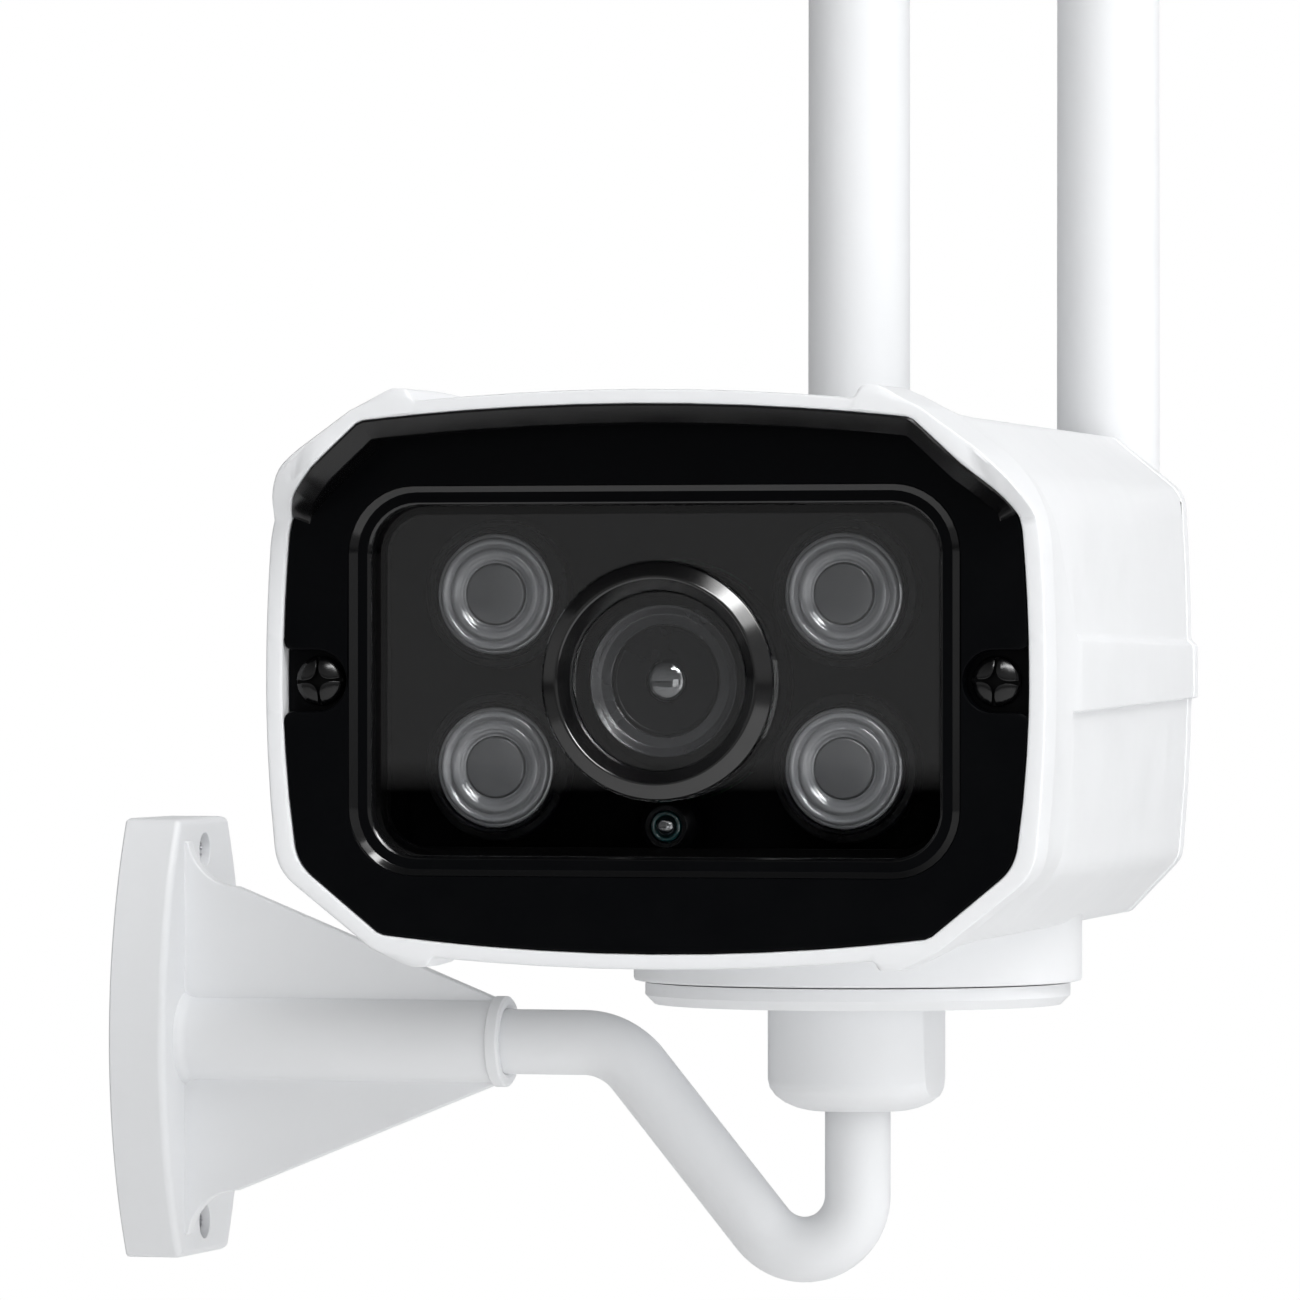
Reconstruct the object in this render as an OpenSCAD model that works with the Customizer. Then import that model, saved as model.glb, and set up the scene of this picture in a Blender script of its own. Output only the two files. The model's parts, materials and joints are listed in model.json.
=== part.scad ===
// Outdoor box camera with a visor, two rod antennas and a bent-tube wall bracket.
// Frame: origin at the centre of the wall plate's back face, +X away from the wall, +Z up.
// The camera looks along -Y. Millimetres.

/* [Wall bracket] */
// Height of the wall plate
plate_h = 58; // [54:0.5:64]
// Width of the wall plate at mid height
plate_w = 34.5; // [32:0.5:38]
// Thickness of the wall plate
plate_t = 7.7; // [6:0.1:9]
// Distance between the two wall screws
screw_pitch = 49.3; // [46:0.1:50]
// Outer diameter of the sleeve that holds the arm
sleeve_d = 11; // [10.6:0.1:12]
// Distance from the wall to the sleeve's mouth
sleeve_end = 52; // [48:0.5:56]
// Thickness of the gusset ribs
rib_t = 2.2; // [1.6:0.1:3]

/* [Arm] */
// Outer diameter of the arm tube
tube_d = 8.5; // [8:0.1:9]
// Wall thickness of the arm tube
tube_wall = 1.2; // [0.8:0.1:1.6]
// Distance from the wall to the pan axis
pan_x = 99; // [97:0.5:103]
// Offset of the arm's plane from the plate's centre line
arm_y = -7.5; // [-8:0.1:-7]
// Centre-line radius of the upper bend
upper_bend_r = 9.4; // [8:0.1:10]
// Centre-line radius of the lower bend
lower_bend_r = 7.2; // [6.5:0.1:8]
// Height of the lower bend's centre
lower_bend_z = -19.3; // [-22:0.1:-18]
// Slope of the straight between the bends, in degrees
slope = 50.7; // [48:0.1:53]

/* [Swivel head] */
// Radius of the ball on the arm's end
ball_r = 8.2; // [7.8:0.1:8.4]
// Height of the ball's centre
ball_z = -0.5; // [-1:0.1:0]
// Diameter of the cup round the ball
cup_d = 23.3; // [23:0.1:25]
// Lowest face of the cup
cup_bottom = -8.5; // [-9:0.1:-8]
// Diameter of the disc below the camera
disc_d = 55; // [50:0.5:57]
// Thickness of the disc
disc_t = 2.8; // [2.4:0.1:3.2]

/* [Camera body] */
// Height of the lens axis above the sleeve's axis
lens_z = 47.5; // [47:0.1:49]
// Distance from the pan axis forward to the lens's front plane
face_reach = 98; // [96:0.5:100]
// Distance from the pan axis back to the shell's rear edge
rear_reach = 56.5; // [54:0.5:58]
// How far the visor stands forward of the lens's front plane
visor_reach = 10.8; // [8:0.1:13]
// How far the lower rim stands forward of the lens's front plane
rim_reach = 2.2; // [2.1:0.1:2.5]
// Wall thickness of the shell
wall = 2.2; // [1.8:0.1:2.4]
// Diameter of the round boss under the shell
boss_d = 58; // [57:0.5:60]

/* [Front plate and window] */
// How far the front plate stands forward of the lens's front plane
plate_reach = 2; // [1.8:0.1:2.1]
// How far the front plate reaches back behind the lens's front plane
face_t = 3.5; // [3.2:0.1:4]
// Width of the window glass that shows
window_w = 70.2; // [68:0.1:70.6]
// Height of the window glass that shows
window_h = 41.9; // [41:0.1:42.5]
// Corner radius of the window
window_r = 5.8; // [4:0.1:7]
// Width of the bevel round the window
bevel = 2.4; // [1.5:0.1:2.8]
// Distance of the two front screws from the lens axis
face_screw_x = 41.7; // [41:0.1:42]

/* [Optics] */
// Outer diameter of the lens trim ring
trim_d = 28.5; // [27:0.1:28.8]
// Sideways distance of the infrared lamps from the lens axis
lamp_x = 21.6; // [21.4:0.1:22]
// Height of the infrared lamps above and below the lens axis
lamp_z = 10.4; // [10.2:0.1:10.6]
// Diameter of an infrared lamp's lens
lamp_d = 14.6; // [13:0.1:15]
// Travel of the infrared filter slide
filter_travel = 7; // [6:0.1:7.4]

/* [Antennas] */
// Diameter of an antenna
antenna_d = 14; // [12:0.1:14.5]
// Length of an antenna above its hinge pin
antenna_len = 159; // [90:1:190]
// Sideways distance of an antenna from the lens axis
antenna_x = 17.5; // [16:0.1:20]
// Height of the antenna sockets above the lens axis
antenna_z = 12; // [10:0.5:16]

/* [Hidden] */
$fn = 64;
eps = 0.01;
lap = 0.3;                              // how far a straight length of tube runs into a bend
swell = 0.02;                           // how much thicker the tube is in its bends
fit = 0.05;                             // running clearance on a radius

// Arm: the straight between the bends touches both of them
tube_r = tube_d / 2;
lower_bend_x = pan_x - lower_bend_r;
upper_bend_x = lower_bend_x
    - (upper_bend_r + lower_bend_r + (-upper_bend_r - lower_bend_z) * cos(slope)) / sin(slope);
slope_start = [upper_bend_x + upper_bend_r * sin(slope), upper_bend_r * (cos(slope) - 1)];
slope_end = [lower_bend_x - lower_bend_r * sin(slope), lower_bend_z - lower_bend_r * cos(slope)];
slope_len = norm(slope_end - slope_start);
arm_start = plate_t + 6;

// Swivel head, in heights of the whole object
disc_top = 8.3;
cup_top = disc_top - disc_t;
boss_bottom = disc_top + 0.2;
floor_z = 17.4;                         // flat floor of the shell round the pan bearing
spigot_r = 16.95;
spigot_top = floor_z + 1.6;

// Camera body, in distances behind the pan axis
face_y = -face_reach;
plate_y = face_y - plate_reach;
head_seat_y = plate_y + 2.2;            // under the front screws' heads
seat_y = face_y + face_t;
gasket_t = 1.2;
cavity_y = face_y + 8;
cover_y = rear_reach + 0.8;
cover_t = 3.2;
cover_back = cover_y + cover_t;
hinge_y = cover_back + 9.5;             // antenna hinge pins
glass_y = face_y + 0.8;
glass_t = 2;
board_t = 1.6;
lamp_board_y = face_y + 9.4;
sensor_board_y = face_y + 36;
main_board_z = -14;
main_board_front = -50;
ribbon_socket_l = 2.4;
main_board_top = main_board_z + board_t;
front_posts = [26, 24.8];
frame_drop = 0.35;                      // depth of the band round the window
cover_screw_at = [22.5, 22.5];
sensor_posts = [15.5, 15.5];
board_post_x = [-18, 18];
board_post_y = [-44, 36];
board_post_z = -27;
light_sensor_z = -17.4;
shell_white = "white";
plate_black = [0.05, 0.05, 0.06];
steel = [0.75, 0.76, 0.78];
board_green = [0.1, 0.35, 0.2];

// Crowned octagons, seen from the front. Each lists half widths at mid height, upper and lower
// side corner, top and bottom corner, then heights: top centre, top corner, upper side corner,
// lower side corner, bottom corner, bottom centre.
face_section = [46, 44.8, 43.8, 34, 33.9, 32.8, 30.9, 19.4, -22, -30.4, -32.5];
rim_section = [48.1, 46.9, 45.8, 34.6, 34.6, 34.5, 32.4, 20.3, -22.9, -32.3, -34.3];
waist_section = [44.1, 43.2, 42.4, 32.8, 33.4, 33.4, 31.7, 20.8, -22.6, -31.3, -32.8];
tail_section = [31.3, 30.8, 30.3, 21, 23, 33.4, 32.4, 23.8, -23.3, -31.6, -32.6];
inset_rule = [1, 1, 1, 0.7, 0.7, 1, 1, 0.6, -0.6, -1, -1];
rib_height = 0.8;
flare_start = face_y + 3.5;
waist_y = face_y + 35;
crown_steps = 4;

function inset(s, d) = s - d * inset_rule;
function mix(a, b, t) = a + (b - a) * t;

// Shell outline at a distance y: a flare that runs out by the waist, then a straight taper
function shell_section(y) = y < waist_y
    ? mix(waist_section, rim_section, pow((waist_y - y) / (waist_y - flare_start), 2))
    : mix(waist_section, tail_section, (y - waist_y) / (rear_reach - waist_y));

function ring(s) = let (k = crown_steps) concat(
    [for (i = [-k : k]) let (u = i / k) [s[3] * u, s[5] - (s[5] - s[6]) * u * u]],
    [for (i = [k : -1 : -k]) let (u = i / k) side_point(s, u)],
    [for (i = [k : -1 : -k]) let (u = i / k) [s[4] * u, s[10] - (s[10] - s[9]) * u * u]],
    [for (i = [-k : k]) let (u = i / k, p = side_point(s, u)) [-p[0], p[1]]]);
function side_point(s, u) = u > 0
    ? [s[0] - (s[0] - s[1]) * u * u, s[7] * u]
    : [s[0] - (s[0] - s[2]) * u * u, -s[8] * u];

// Closed solid through sections, each given as [y, section], from front to back
module loft(stations) {
    rings = [for (st = stations) ring(st[1])];
    n = len(rings[0]);
    last = (len(stations) - 1) * n;
    points = [for (j = [0 : len(stations) - 1], p = rings[j]) [p[0], stations[j][0], p[1]]];
    walls = [for (j = [0 : len(stations) - 2], i = [0 : n - 1])
        let (a = j * n + i, b = j * n + (i + 1) % n)
        each [[a, a + n, b + n], [a, b + n, b]]];
    caps = [[for (i = [0 : n - 1]) i], [for (i = [n - 1 : -1 : 0]) last + i]];
    polyhedron(points = points, faces = concat(caps, walls));
}

// Flat solid of an outline, from y0 back to y1
module slab(y0, y1) translate([0, y1, 0]) rotate([90, 0, 0]) linear_extrude(y1 - y0) children();
module section_slab(s, y0, y1) slab(y0, y1) polygon(ring(s));
module rounded(w, h, r) {
    square([w - 2 * r, h], center = true);
    square([w, h - 2 * r], center = true);
    for (x = [-1, 1], z = [-1, 1]) translate([x * (w / 2 - r), z * (h / 2 - r)]) circle(r);
}
// Cylinder and cone along +Y, and a cylinder along +X
module rod(r, y0, y1) translate([0, y0, 0]) rotate([-90, 0, 0]) cylinder(r = r, h = y1 - y0);
module cone(r0, r1, y0, y1)
    translate([0, y0, 0]) rotate([-90, 0, 0]) cylinder(r1 = r0, r2 = r1, h = y1 - y0);
module rod_x(r, x0, x1) translate([x0, 0, 0]) rotate([0, 90, 0]) cylinder(r = r, h = x1 - x0);
module turned(y = 0) translate([0, y, 0]) rotate([-90, 0, 0]) rotate_extrude() children();
module at_camera() translate([pan_x, arm_y, lens_z]) children();
module at_pan_axis() translate([pan_x, arm_y, 0]) children();
module four_places(at) for (x = [-1, 1], z = [-1, 1]) translate([x * at[0], 0, z * at[1]]) children();
module both_sides(x) for (s = [-1, 1]) translate([s * x, 0, 0]) children();
module board_places() for (x = board_post_x, y = board_post_y) translate([x, y, 0]) children();

// Cross recess, cut towards +Z from the head's face at z = 0
module cross_recess(size, depth) {
    for (a = [0, 90]) rotate(a) translate([-size / 2, -size / 8, -eps]) cube([size, size / 4, depth + eps]);
}
// Pan-head screw along -Z: the head stands on z = 0
module pan_screw(head_r, head_h, shank_r, shank_l) {
    difference() {
        intersection() {
            cylinder(r = head_r, h = head_h);
            translate([0, 0, head_h - head_r * 1.35]) sphere(r = head_r * 1.35);
        }
        translate([0, 0, head_h]) mirror([0, 0, 1]) cross_recess(head_r * 1.2, head_h * 0.55);
    }
    translate([0, 0, -shank_l]) cylinder(r = shank_r, h = shank_l + eps);
}
// Chain of straight wires with round corners
module wire(points, r) {
    for (i = [0 : len(points) - 2]) {
        step = points[i + 1] - points[i];
        translate(points[i]) rotate([0, acos(step[2] / norm(step)), atan2(step[1], step[0])])
            cylinder(r = r, h = norm(step), $fn = 24);
    }
    for (i = [1 : len(points) - 2]) translate(points[i]) sphere(r = r * 1.08, $fn = 24);
}

// ---- Wall bracket -------------------------------------------------------------------------
side_bow_r = (26 * 26 + 5.75 * 5.75) / (2 * 5.75);
collar_x = sleeve_end - 1.8;
lock_screw_x = sleeve_end - 9;
lock_screw_r = 1.95;
screw_hole_r = 1.55;
screw_head_r = 2.05;
screw_head_h = 1.8;
screw_sink = 2.4;                       // depth of the recess for a wall screw's head
shank_r = 1.2;
screw_end = 0.4;                        // how far a wall screw's tip stays inside the plate's back

module plate_outline() intersection() {
    rounded(plate_h, plate_w, 9);
    translate([0, side_bow_r - plate_w / 2]) circle(side_bow_r, $fn = 128);
    translate([0, plate_w / 2 - side_bow_r]) circle(side_bow_r, $fn = 128);
}
module rib_outline() {
    scoop_r = 7;
    difference() {
        polygon([[plate_t - 1, 0], [plate_t - 1, 26], [plate_t + 7.2, 26], [plate_t + 7.2, 20.2],
            [collar_x, sleeve_d / 2 + 0.2], [collar_x, 0]]);
        translate([plate_t + 7.4, 27]) circle(scoop_r);
    }
}
module wall_bracket() color(shell_white) difference() {
    union() {
        rotate([0, -90, 180]) linear_extrude(plate_t) plate_outline();
        translate([0, arm_y, 0]) {
            rod_x(sleeve_d / 2, plate_t - 1, collar_x);
            rod_x(sleeve_d / 2 + 0.6, plate_t - 1, plate_t + 1);
            for (up = [0, 1]) mirror([0, 0, up]) translate([0, rib_t / 2, 0]) rotate([90, 0, 0])
                linear_extrude(rib_t) rib_outline();
            translate([lock_screw_x, 0, 0]) rod(3.4, 3, 9);
        }
    }
    translate([0, arm_y, 0]) {
        rod_x(tube_r + fit, arm_start - 0.5, sleeve_end);
        translate([lock_screw_x, 0, 0]) rod(lock_screw_r + fit, 3, 10);
    }
    for (z = [-1, 1]) translate([0, 0, z * screw_pitch / 2]) {
        rod_x(screw_hole_r, -1, plate_t + 1);
        rod_x(screw_head_r + 0.2, plate_t - screw_sink, plate_t + 1);
    }
}
module wall_screws() color(steel) for (z = [-1, 1])
    translate([plate_t - screw_sink, 0, z * screw_pitch / 2]) rotate([0, 90, 0])
        pan_screw(screw_head_r, screw_head_h, shank_r, plate_t - screw_sink - screw_end);
module arm_lock_screw() color(steel) translate([lock_screw_x, arm_y, 0]) difference() {
    rod(lock_screw_r, tube_r + fit, 8);
    translate([0, 8, 0]) rotate([90, 0, 0]) cylinder(r = 1.1, h = 2, $fn = 6);
}
module sleeve_collar() color(shell_white) translate([0, arm_y, 0]) difference() {
    rod_x(sleeve_d / 2 + 0.45, collar_x, sleeve_end);
    rod_x(tube_r + fit, sleeve_end - 3, sleeve_end + 1);
}

// ---- Arm ----------------------------------------------------------------------------------
module bend(centre, r, from, turn, thick) translate([centre[0], 0, centre[1]]) rotate([90, 0, 0])
    rotate(from) rotate_extrude(angle = turn) translate([r, 0]) circle(thick + swell);
// The arm's whole route as a round bar; over lengthens both of its ends
module arm_route(thick, over = 0) {
    rod_x(thick, arm_start - over, upper_bend_x + lap);
    bend([upper_bend_x, -upper_bend_r], upper_bend_r, 90 - slope, slope, thick);
    translate([slope_start[0], 0, slope_start[1]]) rotate([0, 90 + slope, 0])
        translate([0, 0, -lap]) cylinder(r = thick, h = slope_len + 2 * lap);
    bend([lower_bend_x, lower_bend_z], lower_bend_r, 270 - slope, 90 + slope, thick);
    translate([pan_x, 0, lower_bend_z - lap])
        cylinder(r = thick, h = ball_z + 3 + over - lower_bend_z + lap);
}
module arm_tube() color(shell_white) translate([0, arm_y, 0]) difference() {
    arm_route(tube_r);
    arm_route(tube_r - tube_wall, 1);
}
module arm_ball() color(steel) at_pan_axis() difference() {
    translate([0, 0, ball_z]) sphere(r = ball_r);
    translate([0, 0, ball_z - ball_r]) cylinder(r = tube_r, h = ball_r + 3);
}

// ---- Swivel head --------------------------------------------------------------------------
cup_round = 4.2;                        // height of the cup's domed bottom
cup_flat_x = 10.35;
mouth_r = 6;
mouth_h = 3;                            // height of the cup's mouth round the tube
slot_r = tube_r + 0.45;
lock_hole_r = 1.6;
lock_end = -cup_d / 2 + 0.5;
ring_r = 21;                            // pan ring and the washer under it
ring_t = 1.6;
ring_screw_x = 13.6;
washer_pocket_r = ring_r + 0.6;

// Half section of the cup: straight sides on an elliptical dome that closes in on the tube
module cup_profile() {
    reach = cup_d / 2 - tube_r;
    polygon(concat([[0, 0], [tube_r, 0]],
        [for (a = [15 : 15 : 90]) [tube_r + reach * sin(a), cup_round * (1 - cos(a))]],
        [[cup_d / 2, cup_top - cup_bottom + 1], [0, cup_top - cup_bottom + 1]]));
}
module swivel_head() color(shell_white) at_pan_axis() difference() {
    union() {
        difference() {
            translate([0, 0, cup_bottom]) rotate_extrude() cup_profile();
            translate([cup_flat_x, -cup_d, cup_bottom - 1])
                cube([cup_d, 2 * cup_d, cup_top - cup_bottom + 1]);
        }
        translate([0, 0, cup_top]) cylinder(r1 = disc_d / 2 - 1.2, r2 = disc_d / 2, h = 1.2);
        translate([0, 0, cup_top + 1.2]) cylinder(r = disc_d / 2, h = disc_t - 1.2);
        translate([0, 0, disc_top - 1]) cylinder(r = spigot_r, h = spigot_top - disc_top + 1);
    }
    translate([0, 0, ball_z]) {
        sphere(r = ball_r + fit);
        cylinder(r = ball_r + fit, h = 30);
        translate([0, 0, cup_bottom - ball_z - eps])
            cylinder(r1 = mouth_r + 0.6, r2 = mouth_r, h = mouth_h);
        translate([0, 0, -1.7]) {
            rod(slot_r, 0, cup_d);
            translate([-slot_r, 0, -20]) cube([2 * slot_r, cup_d, 20]);
        }
        rod_x(lock_hole_r, -cup_d, -5);
    }
    ring_screw_places() translate([0, 0, spigot_top - 5]) cylinder(r = 1.1, h = 6);
}
module ring_screw_places() for (a = [90, 210, 330]) rotate(a) translate([ring_screw_x, 0, 0]) children();
module ball_retainer() color(plate_black) at_pan_axis() difference() {
    union() {
        translate([0, 0, ball_z + 4]) cylinder(r = ball_r, h = spigot_top - ball_z - 4);
        translate([0, 0, spigot_top]) cylinder(r = 11.6, h = 1.2);
    }
    translate([0, 0, ball_z]) sphere(r = ball_r + fit);
    translate([0, 0, ball_z]) cylinder(r = tube_r, h = 40);
}
module tilt_lock_screw() color(steel) translate([pan_x, arm_y, ball_z]) difference() {
    rod_x(lock_hole_r - 0.04, lock_end, -ball_r - fit);
    translate([lock_end - 0.5, 0, 0]) rotate([0, 90, 0]) cylinder(r = 0.9, h = 2, $fn = 6);
}
module pan_washer() color("ivory") at_pan_axis() translate([0, 0, floor_z + fit]) difference() {
    cylinder(r = ring_r, h = spigot_top - floor_z - 2 * fit);
    translate([0, 0, -1]) cylinder(r = spigot_r + fit, h = 5);
}
module pan_ring() color(steel) at_pan_axis() translate([0, 0, spigot_top]) difference() {
    cylinder(r = ring_r, h = ring_t);
    translate([0, 0, -1]) cylinder(r = 12, h = ring_t + 2);
    ring_screw_places() translate([0, 0, -1]) cylinder(r = 1.2, h = ring_t + 2);
}
module pan_ring_screws() color(steel) at_pan_axis() ring_screw_places()
    translate([0, 0, spigot_top + ring_t]) pan_screw(1.5, 1.1, 1.05, 6);

// ---- Shell and visor ----------------------------------------------------------------------
visor_cut_z = 25.6;                     // the visor's lower ends slope back from this height
top_lug_back = face_y + 14;
bottom_lug_back = face_y + 10;

module to_corner(x, z) mirror([x < 0 ? 1 : 0, 0, 0]) mirror([0, 0, z < 0 ? 1 : 0]) children();
// Low ridge along a corner of the shell, from its front edge back
module shell_lug(y0, y1) slab(y0, y1)
    polygon([[26.9, 32], [26.9, 33.3], [28, 34.7], [29.8, 34.7], [34, 32.6], [34, 31]]);
// Side view of the space that the visor takes up, drawn out over the whole width
module visor_space() translate([-60, 0, 0]) rotate([90, 0, 90]) linear_extrude(120)
    polygon([[face_y - visor_reach - 1, 40], [face_y - visor_reach - 1, visor_cut_z],
        [face_y - visor_reach, visor_cut_z], [face_y - rim_reach, face_section[7]],
        [face_y + 5, face_section[7]], [face_y + 5, 40]]);

module shell_outside() {
    stations = [face_y - rim_reach, flare_start, face_y + 11, face_y + 19, face_y + 27, waist_y,
        rear_reach];
    loft([for (y = stations) [y, y < flare_start ? rim_section : shell_section(y)]]);
    intersection() {
        section_slab(rim_section, face_y - visor_reach, face_y);
        visor_space();
    }
    for (x = [-1, 1]) {
        to_corner(x, 1) shell_lug(face_y - visor_reach, top_lug_back);
        to_corner(x, -1) shell_lug(face_y - rim_reach, bottom_lug_back);
    }
    intersection() {
        loft([for (y = [waist_y, rear_reach]) [y, inset(shell_section(y), -rib_height)]]);
        translate([-60, waist_y, -3.4]) cube([120, 120, 7.8]);
    }
    translate([0, 0, boss_bottom - lens_z]) cylinder(r = boss_d / 2, h = 9);
}
module housing_shell() color(shell_white) at_camera() difference() {
    union() {
        difference() {
            shell_outside();
            section_slab(face_section, face_y - 30, seat_y + gasket_t);
            section_slab(inset(face_section, 4), face_y, cavity_y + 1);
            loft([for (y = [cavity_y, waist_y, rear_reach + 1]) [y, inset(shell_section(y), wall)]]);
        }
        for (x = [-1, 1]) intersection() {
            translate([x * face_screw_x, 0, 0]) rod(3.6, seat_y + gasket_t, face_y + 18);
            translate([-45.5, face_y, -10]) cube([91, 30, 20]);
        }
        intersection() {
            four_places(cover_screw_at) translate([-3.2, 40, -3.2]) cube([8, rear_reach - 40, 6.4]);
            loft([for (y = [waist_y, rear_reach]) [y, inset(shell_section(y), wall / 2)]]);
        }
        board_places() translate([0, 0, board_post_z - 4.5]) cylinder(r = 3.5, h = 4.5);
    }
    both_sides(face_screw_x) rod(1.3, face_y, face_y + 15);
    four_places(cover_screw_at) rod(1.1, 42, rear_reach + 1);
    board_places() translate([0, 0, board_post_z - 3.5]) cylinder(r = 1.1, h = 6);
    translate([0, 0, floor_z - lens_z]) cylinder(r = washer_pocket_r, h = 4);
    translate([0, 0, boss_bottom - lens_z - 1]) cylinder(r = spigot_r + fit, h = 12);
}
module visor_liner() color(plate_black) at_camera() intersection() {
    difference() {
        section_slab(inset(face_section, 0.05), face_y - visor_reach + 0.2, plate_y);
        section_slab(inset(face_section, bevel), face_y - 30, face_y + 1);
        loft([[face_y - visor_reach - 1, inset(face_section, -0.8)],
            [face_y - visor_reach + bevel, inset(face_section, bevel)]]);
    }
    visor_space();
}

// ---- Front plate and window ---------------------------------------------------------------
module front_plate() color(plate_black) at_camera() {
    difference() {
        section_slab(inset(face_section, 0.1), plate_y, seat_y);
        hull() for (k = [-1, 1]) slab(plate_y + k * frame_drop - eps, plate_y + k * frame_drop)
            rounded(window_w + 2 * bevel - k, window_h + 2 * bevel - k, window_r + bevel - k / 2, $fn = 32);
        slab(plate_y - 1, seat_y + 1) rounded(window_w, window_h, window_r);
        slab(glass_y, seat_y + 1) rounded(window_w + 2.2, window_h + 2.2, window_r + 1);
        both_sides(face_screw_x) {
            rod(1.6, plate_y - 1, seat_y + 1);
            rod(3.75, plate_y - 1, head_seat_y);
        }
        for (x = [-1, 1]) mirror([x < 0 ? 1 : 0, 0, 0]) translate([face_screw_x, plate_y - 1, -3.75])
            cube([10, head_seat_y - plate_y + 1, 7.5]);
    }
    four_places(front_posts) difference() {
        rod(2.2, seat_y - eps, lamp_board_y);
        rod(0.8, seat_y + 1, lamp_board_y + 1);
    }
}
module front_gasket() color([0.12, 0.12, 0.12]) at_camera() difference() {
    section_slab(inset(face_section, 0.3), seat_y, seat_y + gasket_t - 0.1);
    section_slab(inset(face_section, 3), seat_y - 1, seat_y + gasket_t + 1);
    both_sides(face_screw_x) rod(1.9, seat_y - 1, seat_y + gasket_t + 1);
}
module front_screws() color(plate_black) at_camera() both_sides(face_screw_x)
    translate([0, head_seat_y, 0]) rotate([90, 0, 0]) pan_screw(3, 2, 1.25, 12);
module window_glass() color([0.3, 0.32, 0.34, 0.4]) at_camera() difference() {
    slab(glass_y + 0.05, glass_y + glass_t) rounded(window_w + 2, window_h + 2, window_r + 0.9);
    rod(trim_d / 2 + fit, face_y - 5, face_y + 9);
}
module window_gasket() color([0.12, 0.12, 0.12]) at_camera() difference() {
    slab(glass_y + glass_t, seat_y + 0.4) rounded(window_w + 2, window_h + 2, window_r + 0.9);
    slab(glass_y, seat_y + 2) rounded(window_w - 2, window_h - 2, window_r - 1);
}
module lens_trim_ring() color([0.08, 0.08, 0.09]) at_camera() turned()
    polygon([[trim_d / 2, face_y + 1.2], [trim_d / 2, lamp_board_y], [10.8, lamp_board_y],
        [10.8, face_y + 1.4], [12.25, face_y - 0.7], [12.45, face_y - 0.7]]);
module lens_window() color([0.5, 0.55, 0.6, 0.3]) at_camera() rod(10.75, face_y + 1.6, face_y + 2.6);

// ---- Lamp board ---------------------------------------------------------------------------
module lamp_board() color(board_green) at_camera() difference() {
    slab(lamp_board_y, lamp_board_y + board_t) rounded(66, 55, 6);
    rod(trim_d / 2 + 0.35, lamp_board_y - 1, lamp_board_y + 3);
    four_places(front_posts) rod(1.1, lamp_board_y - 1, lamp_board_y + 3);
}
module lamp_board_screws() color(steel) at_camera() four_places(front_posts)
    translate([0, lamp_board_y + board_t, 0]) rotate([-90, 0, 0]) pan_screw(1.8, 1.3, 0.75, 5);
module lamp_chips() color([0.9, 0.85, 0.5]) at_camera() four_places([lamp_x, lamp_z])
    translate([-1.75, lamp_board_y - 1, -1.75]) cube([3.5, 1, 3.5]);
module lamp_holders() color(plate_black) at_camera() four_places([lamp_x, lamp_z]) difference() {
    rod(8.9, face_y + 4.9, lamp_board_y);
    rod(lamp_d / 2 + 0.1, face_y + 4, lamp_board_y - 1.2);
    rod(3.2, face_y + 6, lamp_board_y + 1);
}
module lamp_lenses() color([0.8, 0.82, 0.85, 0.5]) at_camera() four_places([lamp_x, lamp_z])
    difference() {
        turned(face_y) polygon([[0, 6.9], [3.7, 6.9], [4.4, 6.2], [5.8, 6.2], [6.6, 5.7],
            [lamp_d / 2, 5.9], [lamp_d / 2, 8.1], [0, 8.1]]);
        rod(2.8, lamp_board_y - 1.9, lamp_board_y);
    }
module light_sensor() color([0.25, 0.5, 0.5]) at_camera() translate([0, 0, light_sensor_z]) {
    rod(1.7, face_y + 5.4, lamp_board_y);
    translate([0, face_y + 5.6, 0]) sphere(r = 1.7);
}
module light_sensor_holder() color(plate_black) at_camera() translate([0, 0, light_sensor_z]) difference() {
    rod(2.9, face_y + 4.9, lamp_board_y);
    rod(1.75, face_y + 4, lamp_board_y + 1);
}

// ---- Lens and image sensor ----------------------------------------------------------------
barrel_front = face_y + 4.3;
barrel_back = face_y + 28;
thread_r = 6;
frame_front = barrel_back + 0.4;
module lens_barrel() color([0.1, 0.1, 0.11]) at_camera() turned() polygon([
    [9.1, barrel_front], [9.1, barrel_front + 2.6], [8, barrel_front + 2.6], [8, barrel_front + 13],
    [thread_r, barrel_front + 13], [thread_r, barrel_back], [4.1, barrel_back],
    [4.1, barrel_front + 4], [2.3, barrel_front + 3], [2.3, barrel_front + 1], [6.3, barrel_front + 0.6],
    [6.7, barrel_front]]);
module lens_front_element() color([0.35, 0.4, 0.5, 0.5]) at_camera() intersection() {
    translate([0, barrel_front + 3.4, 0]) sphere(r = 3);
    rod(2.25, barrel_front, barrel_front + 2.6);
}
module lens_rear_element() color([0.35, 0.4, 0.5, 0.5]) at_camera() intersection() {
    translate([0, barrel_back - 9, 0]) sphere(r = 8.2);
    rod(4.05, barrel_back - 3, barrel_back);
}
module lens_holder() color(plate_black) at_camera() difference() {
    slab(barrel_front + 13.4, frame_front) rounded(22, 22, 2);
    rod(thread_r + fit, barrel_front, frame_front + 1);
    rod(8.4, barrel_front, barrel_front + 14.4);
}
slot_y = frame_front + 2.4;
slide_w = 16;
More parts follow.
